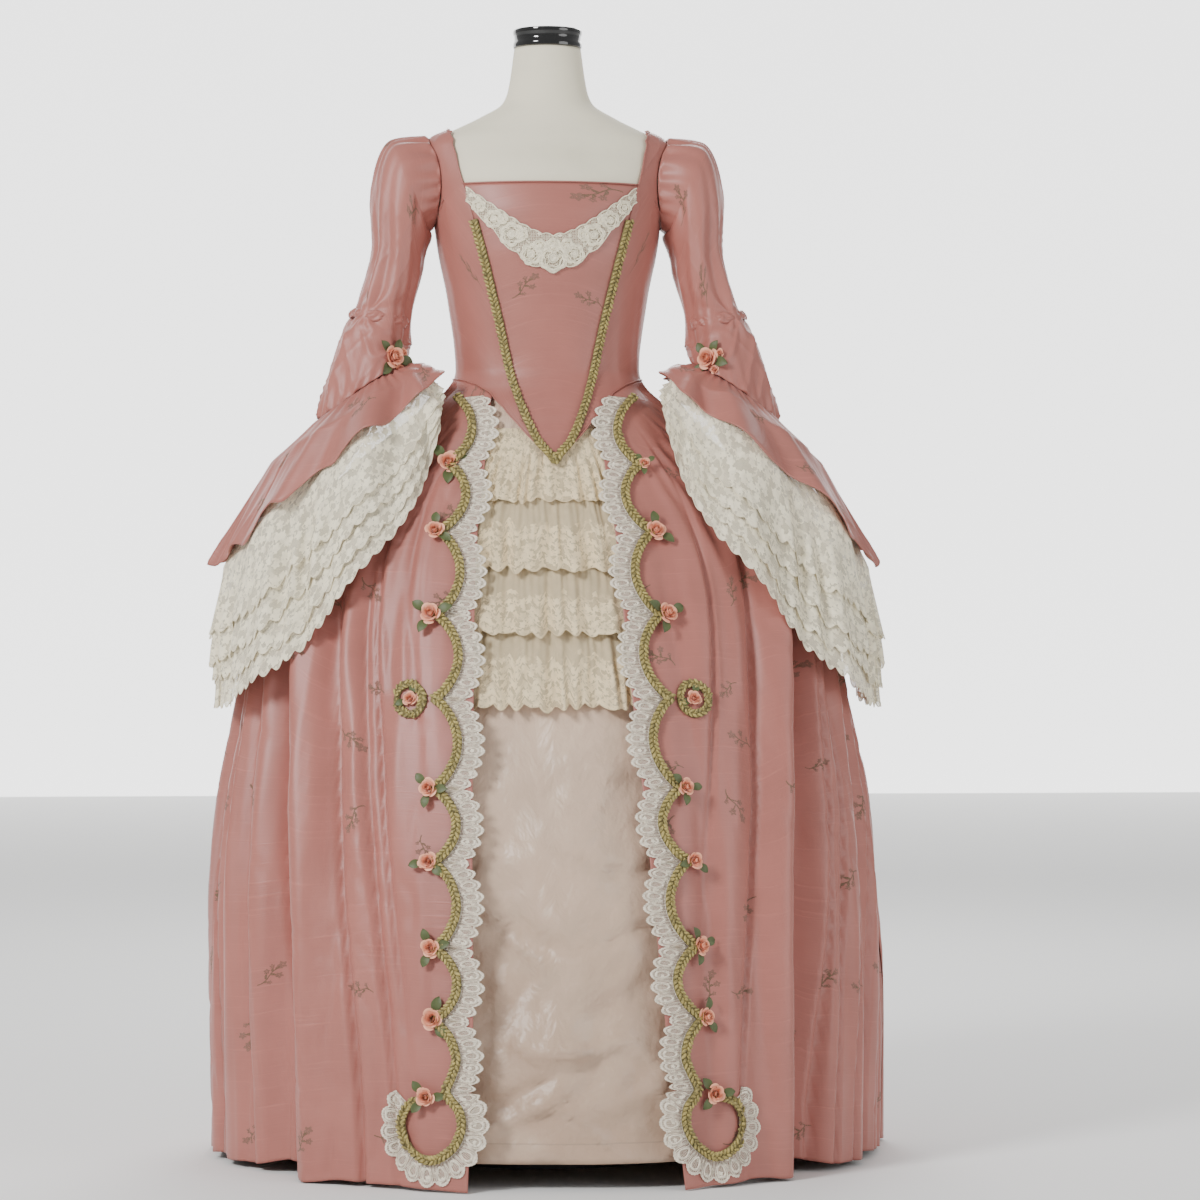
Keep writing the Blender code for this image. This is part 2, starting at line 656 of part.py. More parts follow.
def cuff_line(psi, row):
    """One line of the carrier, clear of the skirt."""
    place, outer_x, outer_z, inner_x, inner_z, half_depth, sag, _ = row
    half_x = (outer_x - inner_x) / 2
    behind = ease(-np.sin(psi) * 1.5)
    fall = ((1 + np.cos(psi)) / 2) ** (1.3 + 0.6 * behind)
    turn = (np.degrees(psi) + 180) % 360 - 180
    inward = np.exp(-(((turn - 132) / 36) ** 2)) * place / 2
    x = (outer_x + inner_x) / 2 + half_x * np.cos(psi) - 0.050 * inward
    y = -0.026 * (1 - np.cos(psi)) / 2 - half_depth * np.sin(psi) - 0.03 * inward
    z = inner_z + (outer_z - inner_z) * fall - sag * (1 - 0.6 * behind) * np.sin(psi) ** 2 - 0.02 * inward
    return off_skirt(np.stack([x, y, z], -1), psi, CUFF_MARGIN)


CUFF_PLACES = np.array([0.0, GATHER_AT] + [row[0] for row in CUFF_LINES])


def cuff_flat(psi, t):
    """The carrier before its waves."""
    psi, t = np.broadcast_arrays(psi, t)
    seam = sleeve(psi, np.full(psi.shape, float(len(SLEEVE_RINGS) - 1)))
    seam = seam + np.array([0.0, 0.0, -0.0009])
    lines = [cuff_line(psi, row) for row in CUFF_LINES]
    level = np.stack([np.cos(psi), -np.sin(psi), 0 * psi], -1)
    gathers = seam + GATHER_AT * (lines[0] - seam) + GATHER_OUT * level
    lines = np.array([seam, gathers] + lines)
    k = np.clip(np.searchsorted(CUFF_PLACES, t, side="right") - 1, 0, len(CUFF_PLACES) - 2)
    share = ((t - CUFF_PLACES[k]) / (CUFF_PLACES[k + 1] - CUFF_PLACES[k]))[..., None]
    before = np.take_along_axis(lines, k[None, ..., None], 0)[0]
    after = np.take_along_axis(lines, k[None, ..., None] + 1, 0)[0]
    return before + (after - before) * share


def cuff_facing(psi, t):
    """The way in which the cuff's layers lie over one another: its normal, taken over a wide step."""
    across = cuff_flat(psi + 0.15, t) - cuff_flat(psi - 0.15, t)
    along = cuff_flat(psi, np.minimum(t + 0.35, 2.0)) - cuff_flat(psi, np.maximum(t - 0.35, 0.0))
    found = np.cross(across, along)
    return found / np.linalg.norm(found, axis=-1, keepdims=True)


def cuff(psi, t):
    """The carrier below the right sleeve. t is 0 at the seam, 1 at the flounce's edge, 2 at the last lace."""
    psi, t = np.broadcast_arrays(psi, t)
    height = np.interp(t, CUFF_PLACES, [0.0, GATHER_WAVE] + [row[7] for row in CUFF_LINES])
    gathers = (0.5 + np.cos(CUFF_WAVES * psi)) / 1.5
    gathers = gathers * (0.35 + 0.65 * np.abs(np.cos((psi - math.pi) / 2)))
    return cuff_flat(psi, t) + (height * gathers)[..., None] * cuff_facing(psi, t)


def on_side(surface, side):
    """A right-hand surface, or its mirror image for the left side."""
    if side > 0:
        return surface
    return lambda u, v: surface(-u, v) * np.array([-1.0, 1.0, 1.0])


def build_sleeves(silk, lace):
    """Sleeves, their flounces and four tiers of lace in each."""
    around = np.linspace(0, 2 * math.pi, SLEEVE_COLUMNS, endpoint=False)[None, :]
    cuff_around = np.linspace(0, 2 * math.pi, CUFF_COLUMNS, endpoint=False)[None, :]
    for side, word in ((-1, "left"), (1, "right")):
        t = np.arange(len(SLEEVE_RINGS), dtype=float)[:, None]
        psi = around + 0 * t
        cloth(f"sleeve_{word}", on_side(sleeve, side), psi, t + 0 * psi, CLOTH, silk, closed=True)
        t = np.array([0.0, GATHER_AT, 1.0])[:, None]
        psi = cuff_around + 0 * t
        facing = on_side(cuff_facing, side)
        cloth(f"sleeve_flounce_{word}", on_side(cuff, side), psi, t + 0 * psi, CLOTH, silk,
              closed=True, facing=facing)
        for number, end in enumerate(LACE_ENDS, 1):
            rows = [0.04, 1.0, 1.5] + ([end] if end > 1.5 else [])
            t = np.array(rows)[:, None]
            psi = cuff_around + 0 * t
            inside = 0.0022 + number * (0.0016 + 0.0010 * np.clip(t, 0, 1))[..., None]
            cloth(f"sleeve_lace_{word}_{number}", on_side(cuff, side), psi, t + 0 * psi, LACE, lace,
                  closed=True, lift=-inside, facing=facing)


# The braid on each overskirt front: heights of its cusps, from the waist down, and then its path round
# the loop at the bottom, as distance from the front edge and height.
CUSPS = (1.046, 0.953, 0.860, 0.748, 0.637, 0.520, 0.425, 0.314, 0.222)
CUSP_IN, BULGE_IN = 0.052, 0.020
LOOP = (
    (0.030, 0.200),
    (0.020, 0.172),
    (0.026, 0.148),
    (0.032, 0.128),
    (0.014, 0.106),
    (0.010, 0.082),
    (0.022, 0.056),
    (0.051, 0.040),
    (0.082, 0.056),
    (0.095, 0.086),
    (0.083, 0.112),
    (0.056, 0.119),
)
LOOP_CENTRE = (0.053, 0.082)
BRAID_WIDTH = 0.014
BRAID_LIFT = 0.0042
RING_LIFT = 0.0013
LACE_LIFT = 0.0016
LACE_REACH = 0.036
RING_CUSP = 4
RING_RADIUS = 0.020


class Panel:
    """An overskirt front's own facets, for the trims that lie on it."""

    def __init__(self, side):
        self.side = side
        phi, z = overskirt_front(side)
        self.points = overskirt(phi, z)
        self.facing = normals(overskirt, phi, z)

    def at(self, inward, z, lift):
        """A point at a distance inwards from the front edge, at a height, and moved out by lift."""
        lift = lift + 0.0012 * ease((z - 0.99) / 0.04)
        start = np.radians(front_edge(self.side, z))
        phi = start + inward / (GOWN[0](z) * np.cos(start))
        seam = np.radians(side_seam(z))
        rows, columns = self.points.shape[:2]
        column = (phi - start) / (seam - start) / (1 - SEAM_GAP / 2 / 0.17) * (columns - 1)
        bottom = skirt_height(self.side * phi, 0.0)
        top = skirt_height(self.side * phi, 1.0)
        row = np.interp((z - bottom) / (top - bottom), FRONT_SHARES, np.arange(rows))
        i = int(np.clip(math.floor(row), 0, rows - 2))
        j = int(np.clip(math.floor(column), 0, columns - 2))
        up, along = row - i, column - j
        a, b = self.points[i, j], self.points[i, j + 1]
        d, c = self.points[i + 1, j], self.points[i + 1, j + 1]
        if np.linalg.norm(a - c) <= np.linalg.norm(b - d):
            found = a + along * (b - a) + up * (c - b) if along >= up else a + up * (d - a) + along * (c - d)
        elif up + along <= 1:
            found = a + along * (b - a) + up * (d - a)
        else:
            found = c + (1 - along) * (d - c) + (1 - up) * (b - c)
        share = min(max(along, 0.0), 1.0)
        near = self.facing[i, j] * (1 - share) + self.facing[i, j + 1] * share
        far = self.facing[i + 1, j] * (1 - share) + self.facing[i + 1, j + 1] * share
        facing = near * (1 - up) + far * up
        return found + lift * facing / np.linalg.norm(facing)


def volume(points, faces):
    """The signed volume inside triangles."""
    corners = points[np.array(faces)]
    return np.einsum("ij,ij->i", corners[:, 0], np.cross(corners[:, 1], corners[:, 2])).sum() / 6


def strip(name, sections, finish, closed=False):
    """A closed bar through sections of four points each, or a ring of them, facing out."""
    sections = np.array(sections)
    count = len(sections)
    faces = []
    for k in range(count if closed else count - 1):
        low, high = 4 * k, 4 * ((k + 1) % count)
        for m in range(4):
            n = (m + 1) % 4
            faces += [(low + m, low + n, high + n), (low + m, high + n, high + m)]
    if not closed:
        last = 4 * (count - 1)
        faces += [(0, 2, 1), (0, 3, 2), (last, last + 1, last + 2), (last, last + 2, last + 3)]
    points = sections.reshape(-1, 3)
    if volume(points, faces) < 0:
        faces = [face[::-1] for face in faces]
    return add_object(name, points, faces, finish)


def braid_sections(path, place, low, closed=False):
    """Sections of a braid along a path in the cloth's own two measures.

    place gives the point of a lift, and low is the lift of the braid's underside."""
    path = np.array(path)
    count = len(path)
    sections = []
    for k, (u, v) in enumerate(path):
        before = path[(k - 1) % count] if closed else path[max(k - 1, 0)]
        after = path[(k + 1) % count] if closed else path[min(k + 1, count - 1)]
        along = (after - before) / np.linalg.norm(after - before)
        across = np.array([along[1], -along[0]])
        corners = []
        for half, lift in ((-0.5, 0.0), (0.5, 0.0), (0.36, BRAID_THICK), (-0.36, BRAID_THICK)):
            a, b = (u, v) + across * half * BRAID_WIDTH
            corners.append(place(a, b, low + lift))
        sections.append(corners)
    return sections


SCALLOP_SHARES = (0.0, 1 / 3, 2 / 3)


def scallops():
    """The skirt braid's path down its scallops: distance from the front edge, height."""
    path = []
    for high, low in zip(CUSPS, CUSPS[1:]):
        for share in SCALLOP_SHARES:
            bulge = math.sin(math.pi * share) ** 0.7
            path.append((CUSP_IN + (BULGE_IN - CUSP_IN) * bulge, high + (low - high) * share))
    return path + [(CUSP_IN, CUSPS[-1])]


def lace_stations():
    """Where the edging lace's cells begin, under the braid, and which way they point."""
    stations = [(at, (-1.0, 0.0)) for at in scallops() + list(LOOP[0:3])]
    stations.append((LOOP[4], (-1.0, 0.0)))
    around = [LOOP[4]]
    for before, after in zip(LOOP[4:10], LOOP[5:11]):
        around += [((before[0] + after[0]) / 2, (before[1] + after[1]) / 2), after]
    for at in around[1:]:
        way = np.array(at) - LOOP_CENTRE
        stations.append((at, way / np.linalg.norm(way)))
    return stations


# One lace cell: outline from its inner corner, then its hole, as a share along the cell and a share out.
CELL = ((0.0, 0.0), (1.0, 0.0), (1.0, 0.84), (0.5, 1.0), (0.0, 0.84))
CELL_HOLE = ((0.5, 0.34), (0.74, 0.66), (0.5, 0.86), (0.26, 0.66))
CELL_FACES = ((0, 1, 5), (1, 6, 5), (1, 2, 6), (2, 7, 6), (2, 3, 7), (3, 4, 7), (4, 8, 7), (4, 0, 8),
              (0, 5, 8))


def lace_cells(name, corners, place, finish):
    """A strip of lace cells, each with its hole.

    corners gives each cell's four corners in the cloth's measures."""
    keys, flat, faces = {}, [], []
    for low_a, low_b, high_b, high_a in corners:
        numbers = []
        for along, out in CELL + CELL_HOLE:
            inner = np.array(low_a) * (1 - along) + np.array(low_b) * along
            outer = np.array(high_a) * (1 - along) + np.array(high_b) * along
            at = inner * (1 - out) + outer * out
            key = tuple(np.round(at, 6))
            if key not in keys:
                keys[key] = len(flat)
                flat.append(at)
            numbers.append(keys[key])
        faces += [tuple(numbers[k] for k in face) for face in CELL_FACES]
    outer = np.array([place(a, b, LACE_LIFT + LACE) for a, b in flat])
    inner = np.array([place(a, b, LACE_LIFT) for a, b in flat])
    first = faces[0]
    side = np.cross(outer[first[1]] - outer[first[0]], outer[first[2]] - outer[first[0]])
    if np.dot(side, outer[first[0]] - inner[first[0]]) < 0:
        faces = [face[::-1] for face in faces]
    return wall(name, outer, inner, faces, finish)


def build_skirt_trims(braid, lace):
    """Braid, its ring, and edging lace on each overskirt front."""
    for side, word in ((-1, "left"), (1, "right")):
        panel = Panel(side)
        path = scallops() + list(LOOP)
        strip(f"skirt_braid_{word}", braid_sections(path, panel.at, BRAID_LIFT), braid)
        centre = (CUSP_IN + RING_RADIUS + BRAID_WIDTH + 0.001, CUSPS[RING_CUSP])
        turns = np.linspace(0, 2 * math.pi, 10, endpoint=False)
        loop = [(centre[0] + RING_RADIUS * math.cos(a), centre[1] + RING_RADIUS * math.sin(a)) for a in turns]
        strip(f"skirt_ring_{word}", braid_sections(loop, panel.at, RING_LIFT, True), braid, closed=True)
        corners = []
        stations = lace_stations()
        for (low, way_low), (high, way_high) in zip(stations, stations[1:]):
            low, high = np.array(low), np.array(high)
            out_low = low + LACE_REACH * np.array(way_low)
            out_high = high + LACE_REACH * np.array(way_high)
            corners.append((low, high, out_high, out_low))
        lace_cells(f"edging_lace_{word}", corners, panel.at, lace)


STOMACHER_BRAID_TOP = 1.292
V_LIFT = 0.0018
# The bodice lace's upper and lower edges: distance from the middle, upper height, lower height.
BODICE_LACE = (
    (0.000, 1.266, 1.222),
    (0.020, 1.270, 1.226),
    (0.040, 1.280, 1.236),
    (0.060, 1.293, 1.253),
    (0.080, 1.307, 1.275),
    (0.100, 1.322, 1.299),
    (0.118, 1.336, 1.318),
)
# Roses on the overskirt's fronts: distance from the front edge, height, size, and how far the foot is off
# the fabric. The fourth sits on the fabric inside the ring. Then those on the sleeves.
ON_BRAID = 0.0082
LEFT_ROSES = (
    (0.053, 0.953, 0.017, ON_BRAID),
    (0.056, 0.860, 0.014, ON_BRAID),
    (0.057, 0.748, 0.016, ON_BRAID),
    (0.087, 0.637, 0.0112, 0.0011),
    (0.056, 0.520, 0.014, ON_BRAID),
    (0.058, 0.425, 0.014, ON_BRAID),
    (0.056, 0.314, 0.014, ON_BRAID),
    (0.055, 0.222, 0.016, ON_BRAID),
    (0.060, 0.122, 0.014, ON_BRAID),
)
RIGHT_ROSES = (
    (0.056, 0.953, 0.009, ON_BRAID),
    (0.056, 0.860, 0.015, ON_BRAID),
    (0.057, 0.748, 0.016, ON_BRAID),
    (0.087, 0.637, 0.0112, 0.0011),
    (0.055, 0.520, 0.013, ON_BRAID + 0.0006),
    (0.058, 0.425, 0.013, ON_BRAID),
    (0.056, 0.314, 0.014, ON_BRAID),
    (0.055, 0.222, 0.014, ON_BRAID),
    (0.060, 0.122, 0.014, ON_BRAID),
)
SLEEVE_ROSE = (2.20, 6.35, 0.017)
ROSE_PROFILE = ((0.72, 0.0), (1.0, 0.42), (0.62, 0.86))
ROSE_SIDES = 6
TAB_TURNS = (0.0, 30.0, 60.0, 90.0, 120.0, 150.0)
TAB_LOW, TAB_HIGH = 4.72, 4.36


def on_gown(x, z, lift):
    """A point over the gown's own surface, at a distance from the middle of the front and a height."""
    phi, level = np.array(azimuth_at(x, z)), np.array(float(z))
    return gown(phi, level) + lift * normals(gown, phi, level)


def build_bodice_trims(braid, lace):
    """The braid along the stomacher's point, and the lace over the neckline."""
    heights, halves = zip(*POINT_LINE)
    levels = [STOMACHER_BRAID_TOP] + [z for z in reversed(heights) if z < STOMACHER_BRAID_TOP - 0.01]
    side_path = [(float(np.interp(z, heights, halves)), z) for z in levels]
    path = side_path + [(0.0, POINT - 0.006)] + [(-x, z) for x, z in reversed(side_path)]
    strip("stomacher_braid", braid_sections(path, on_gown, V_LIFT), braid)
    table = [(-x, high, low) for x, high, low in reversed(BODICE_LACE[1:])] + list(BODICE_LACE)
    corners = [((a[0], a[1]), (b[0], b[1]), (b[0], b[2]), (a[0], a[2])) for a, b in zip(table, table[1:])]
    lace_cells("bodice_lace", corners, on_gown, lace)


def rose(name, centre, facing, size, finish):
    """A ribbon rose: a low bud of three rings and a tip."""
    facing = np.array(facing) / np.linalg.norm(facing)
    side = np.cross(facing, (0.0, 0.0, 1.0))
    side = side / np.linalg.norm(side)
    up = np.cross(side, facing)
    turns = np.linspace(0, 2 * math.pi, ROSE_SIDES, endpoint=False)
    points = [centre + size * (r * (side * math.cos(a) + up * math.sin(a)) + h * facing)
              for r, h in ROSE_PROFILE for a in turns]
    points.append(centre + size * 0.95 * facing)
    faces = []
    for row in range(len(ROSE_PROFILE) - 1):
        for k in range(ROSE_SIDES):
            n = (k + 1) % ROSE_SIDES
            a, b = row * ROSE_SIDES + k, row * ROSE_SIDES + n
            faces += [(a, b, b + ROSE_SIDES), (a, b + ROSE_SIDES, a + ROSE_SIDES)]
    last = (len(ROSE_PROFILE) - 1) * ROSE_SIDES
    faces += [(last + k, last + (k + 1) % ROSE_SIDES, len(points) - 1) for k in range(ROSE_SIDES)]
    faces += [(0, k + 1, k) for k in range(1, ROSE_SIDES - 1)]
    points = np.array(points)
    if volume(points, faces) < 0:
        faces = [face[::-1] for face in faces]
    return add_object(name, points, faces, finish)


def build_roses(peach):
    """Ribbon roses at the braid's cusps and on the sleeves."""
    for side, word, rows in ((-1, "left", LEFT_ROSES), (1, "right", RIGHT_ROSES)):
        panel = Panel(side)
        for number, (inward, z, size, low) in enumerate(rows, 1):
            foot = panel.at(inward, z, low)
            rose(f"rose_{word}_{number}", foot, foot - panel.at(inward, z, 0.0), size, peach)
        psi, t, size = SLEEVE_ROSE
        surface = on_side(sleeve, side)
        turn, place = np.array(side * psi), np.array(t)
        facing = normals(surface, turn, place)
        rose(f"rose_sleeve_{word}", surface(turn, place) + 0.0003 * facing, facing, size, peach)


def build_tabs(silk):
    """The ruched tab across each elbow, on the sleeve's own facets between its fourth and fifth rings."""
    for side, word in ((-1, "left"), (1, "right")):
        surface = on_side(sleeve, side)
        psi = np.radians(np.array(TAB_TURNS))[None, :] * side
        ends = []
        for ring_number in (4.0, 5.0):
            t = np.full(psi.shape, ring_number)
            ends.append((surface(psi, t)[0], normals(surface, psi, t)[0]))
        sections = []
        for k in range(psi.shape[1]):
            corners = []
            for t, lift in ((TAB_LOW, 0.0014), (TAB_HIGH, 0.0014), (TAB_HIGH, 0.0054), (TAB_LOW, 0.0054)):
                share = t - 4.0
                at = ends[0][0][k] * (1 - share) + ends[1][0][k] * share
                way = ends[0][1][k] * (1 - share) + ends[1][1][k] * share
                corners.append(at + lift * way / np.linalg.norm(way))
            sections.append(corners)
        strip(f"sleeve_tab_{word}", sections, silk)


def centre_on_origin():
    """Moves every piece so that the middle of the whole stands over the origin."""
    meshes = [item for item in bpy.data.objects if item.type == "MESH"]
    corners = np.array([vertex.co[:] for item in meshes for vertex in item.data.vertices])
    middle = (corners.min(0) + corners.max(0)) / 2
    for item in meshes:
        for vertex in item.data.vertices:
            vertex.co.x -= middle[0]
            vertex.co.y -= middle[1]


def main():
    """Builds every piece."""
    for old in list(bpy.data.objects):
        bpy.data.objects.remove(old)
    silk = material("rose_silk", (0.55, 0.26, 0.23), 0.42)
    satin = material("petticoat_satin", (0.72, 0.57, 0.45), 0.40)
    cream_lace = material("cream_lace", (0.83, 0.74, 0.55), 0.75)
    ivory_lace = material("ivory_lace", (0.86, 0.85, 0.76), 0.75)
    braid = material("gold_braid", (0.42, 0.36, 0.13), 0.60)
    peach = material("peach_ribbon", (0.80, 0.47, 0.34), 0.55)
    cover = material("form_cover", (0.80, 0.77, 0.65), 0.70)
    gloss = material("black_gloss", (0.01, 0.01, 0.01), 0.12)
    metal = material("stand_metal", (0.10, 0.10, 0.10), 0.35, 0.9)
    build_form(cover, gloss, metal)
    build_bodice(silk)
    build_overskirt(silk)
    build_petticoat(satin)
    build_flounces(cream_lace)
    build_sleeves(silk, ivory_lace)
    build_tabs(silk)
    build_skirt_trims(braid, ivory_lace)
    build_bodice_trims(braid, ivory_lace)
    build_roses(peach)
    centre_on_origin()


main()
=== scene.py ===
"""Ball gown of an eighteenth-century cut on a dress form: its visible pieces.

Everything is in metres, front -Y, up +Z. The cloth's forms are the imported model's own: the gown's outer
surface, the petticoat inside it and the sleeves, here with their creases, sewing, weave and trimmings.
"""

import math

import bmesh
import bpy
import numpy as np
from mathutils import Matrix, Vector


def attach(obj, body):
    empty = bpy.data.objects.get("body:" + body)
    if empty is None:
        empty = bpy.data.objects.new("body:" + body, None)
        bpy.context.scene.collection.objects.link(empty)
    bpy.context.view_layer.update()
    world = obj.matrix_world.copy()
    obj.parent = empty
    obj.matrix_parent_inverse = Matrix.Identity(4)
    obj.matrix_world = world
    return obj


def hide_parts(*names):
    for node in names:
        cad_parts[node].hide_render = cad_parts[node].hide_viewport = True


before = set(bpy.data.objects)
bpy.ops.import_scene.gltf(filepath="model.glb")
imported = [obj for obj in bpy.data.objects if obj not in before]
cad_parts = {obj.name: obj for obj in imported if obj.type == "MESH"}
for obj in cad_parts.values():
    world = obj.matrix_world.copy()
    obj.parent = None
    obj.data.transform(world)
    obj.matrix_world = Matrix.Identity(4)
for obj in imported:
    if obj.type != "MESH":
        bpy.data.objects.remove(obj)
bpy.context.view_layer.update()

bl_info = {
    "name": "Ball gown on a dress form",
    "version": (1, 0, 0),
    "blender": (4, 5, 0),
    "location": "3D View > Sidebar > Gown",
    "description": "Makes a trimmed ball gown, its petticoat and its form piece by piece",
    "category": "Object",
}

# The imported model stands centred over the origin, this far from the tables' own middle.
CENTRE = np.array([0.00043854, -0.02298821, 0.0])
WAIST = 1.077
TURN = 2 * math.pi
SEAM_GAP = 0.0005

# The gown's outer surface at rest, before its folds: height, half width, depth in front, depth behind.
GOWN_ROWS = (
    (0.000, 0.489, 0.420, 0.455),
    (0.150, 0.489, 0.408, 0.447),
    (0.330, 0.485, 0.382, 0.428),
    (0.480, 0.471, 0.350, 0.400),
    (0.590, 0.450, 0.318, 0.372),
    (0.712, 0.424, 0.272, 0.334),
    (0.810, 0.390, 0.228, 0.292),
    (0.890, 0.340, 0.190, 0.248),
    (0.950, 0.281, 0.160, 0.208),
    (1.000, 0.219, 0.138, 0.172),
    (1.040, 0.166, 0.119, 0.136),
    (1.065, 0.137, 0.105, 0.107),
    (1.090, 0.1292, 0.0970, 0.0950),
    (1.189, 0.1405, 0.1080, 0.1010),
    (1.255, 0.1535, 0.1200, 0.1060),
    (1.300, 0.1595, 0.1200, 0.1070),
    (1.343, 0.1650, 0.1100, 0.1030),
    (1.375, 0.1710, 0.0960, 0.0930),
    (1.400, 0.1745, 0.0800, 0.0790),
    (1.415, 0.1640, 0.0720, 0.0720),
    (1.430, 0.1310, 0.0640, 0.0650),
    (1.445, 0.0980, 0.0580, 0.0600),
    (1.465, 0.0655, 0.0530, 0.0560),
    (1.482, 0.0585, 0.0510, 0.0540),
    (1.540, 0.0495, 0.0485, 0.0500),
)
FORM_INSET = ((1.077, 0.0128), (1.100, 0.0116), (1.130, 0.0050), (1.300, 0.0036), (1.360, 0.0034),
              (1.405, 0.0054), (1.425, 0.0046), (1.450, 0.0032), (1.540, 0.0030))
HIP_ROWS = (
    (0.800, 0.120, 0.078, 0.090),
    (0.806, 0.132, 0.086, 0.100),
    (0.900, 0.150, 0.098, 0.116),
    (0.980, 0.148, 0.098, 0.110),
    (1.040, 0.132, 0.0945, 0.096),
)
NECK_TOP = 1.540
# How far the petticoat lies inside the gown's surface, by height: in front, and added at the sides.
PETTICOAT_INSET = (
    (0.000, 0.030, 0.085),
    (0.600, 0.030, 0.085),
    (0.750, 0.029, 0.076),
    (0.880, 0.024, 0.048),
    (0.950, 0.016, 0.026),
    (1.000, 0.0110, 0.012),
    (1.040, 0.0088, 0.003),
    (1.065, 0.0066, 0.0),
    (1.078, 0.0047, 0.0),
    (1.090, 0.0038, 0.0),
)
# The overskirt's front edges: height, azimuth of the left edge and of the right one, in degrees.
FRONT_EDGES = (
    (0.000, -15.5, 18.5),
    (0.250, -14.5, 15.0),
    (0.520, -15.0, 13.0),
    (0.750, -16.0, 12.0),
    (0.900, -18.0, 13.0),
    (0.960, -20.5, 14.5),
    (1.020, -27.0, 20.0),
    (1.060, -35.0, 28.0),
)
# The bodice's lower edge, the same both ways from the middle: azimuth, height.
LOWER_EDGE = (
    (0.0, 0.9630),
    (1.6, 0.9665),
    (7.0, 0.9860),
    (14.0, 1.0100),
    (23.0, 1.0330),
    (35.0, 1.0540),
    (49.0, 1.0665),
    (63.0, 1.0730),
    (76.0, 1.0760),
    (90.0, 1.0770),
    (130.0, 1.0750),
    (180.0, 1.0620),
)
# Folds of the overskirt: azimuth at the waist and at the hem, half width at the hem in degrees, depth
# (a ridge is negative), and the height where the fold has come to half its depth.
FOLDS = (
    (-47, -21, 5.0, 0.007, 0.80),
    (-53, -29, 5.0, 0.014, 0.78),
    (-60, -38.5, 5.5, 0.021, 0.80),
    (-69, -46.5, 4.0, -0.010, 0.70),
    (-77, -55.5, 7.0, 0.062, 0.76),
    (-84, -68.5, 6.0, 0.026, 0.80),
    (-92, -80.0, 6.0, 0.032, 0.78),
    (-99, -91.0, 5.5, 0.024, 0.80),
    (42, 24.5, 4.5, 0.009, 0.80),
    (50, 33.0, 5.0, 0.022, 0.82),
    (58, 39.5, 3.2, -0.008, 0.70),
    (67, 46.5, 6.0, 0.062, 0.84),
    (76, 58.0, 6.0, 0.024, 0.84),
    (85, 70.0, 6.5, 0.034, 0.78),
    (92, 80.5, 5.5, 0.020, 0.80),
    (99, 91.0, 5.5, 0.028, 0.80),
)
BACK_FOLDS = 6
BACK_FOLD_DEPTH = 0.036
SIDE_SEAM_AT_HEM, SIDE_SEAM_AT_WAIST = 96.5, 101.0
HEM_LIFT_SHARE = 0.30
PETTICOAT_HEM, PETTICOAT_TOP = 0.034, 1.088
HEM_STITCH = 0.060
# The petticoat's lace flounces: height of the top, height of the lower edge, waves, how far its lower
# edge stands off, height of its waves.
FLOUNCES = (
    (0.974, 0.906, 5, 0.0125, 0.0016),
    (0.950, 0.812, 5, 0.0150, 0.0036),
    (0.838, 0.726, 6, 0.0150, 0.0038),
    (0.752, 0.628, 6, 0.0150, 0.0038),
)
FLOUNCE_UNDERLAP = 5.0
# The line where the stomacher meets the bodice's fronts: height, distance from the middle.
POINT_LINE = (
    (0.9665, 0.0060),
    (0.9850, 0.0225),
    (1.0100, 0.0340),
    (1.0420, 0.0460),
    (1.0770, 0.0560),
    (1.1500, 0.0712),
    (1.2400, 0.0930),
    (1.3000, 0.1092),
    (1.3430, 0.1210),
)
NECKLINE, UNDERARM, POINT = 1.343, 1.29, 0.963
HALF_NECKLINE = 0.1205
ARMHOLE_Z, ARMHOLE_HIGH, ARMHOLE_DEEP = 1.351, 0.062, 0.046
STRAP_EDGE = ((1.343, 0.1225), (1.352, 0.124), (1.368, 0.128), (1.388, 0.1315), (1.408, 0.134),
              (1.420, 0.1355))
SHOULDER_Z, SHOULDER_HALF_GAP = 1.4275, 0.004
BACK_SHARES = (0.0, 0.133, 0.266, 0.40, 0.533, 0.65, 0.77, 0.885, 1.0)
BACK_FIRST = 4
# The right sleeve: the ring's middle (x, y, z), the tilt of its outer end in degrees, half width, half depth.
SLEEVE_RINGS = (
    (0.166, 0.000, 1.351, 6.0, 0.062, 0.046),
    (0.193, -0.002, 1.345, 22.0, 0.070, 0.058),
    (0.205, -0.004, 1.310, 48.0, 0.055, 0.060),
    (0.211, -0.006, 1.245, 75.0, 0.036, 0.058),
    (0.226, -0.010, 1.185, 80.0, 0.036, 0.055),
    (0.240, -0.014, 1.140, 78.0, 0.045, 0.054),
    (0.250, -0.020, 1.105, 104.0, 0.056, 0.058),
    (0.261, -0.026, 1.060, 124.0, 0.072, 0.062),
)
# The carrier of the sleeve's flounce and lace: its place along it, outer end (x, z), inner end (x, z),
# half depth, sag in the middle, wave height.
CUFF_LINES = (
    (1.0, 0.4500, 0.815, 0.1780, 1.0800, 0.136, 0.020, 0.0190),
    (1.5, 0.4620, 0.716, 0.1760, 1.0730, 0.140, 0.075, 0.0170),
    (2.0, 0.4680, 0.620, 0.1760, 1.0660, 0.142, 0.125, 0.0170),
)
CUFF_WAVES = 7
GATHER_AT, GATHER_OUT, GATHER_WAVE = 0.3, 0.019, 0.008
CUFF_MARGIN = 0.023
LACE_ENDS = (1.5, 1.71, 1.86, 2.0)
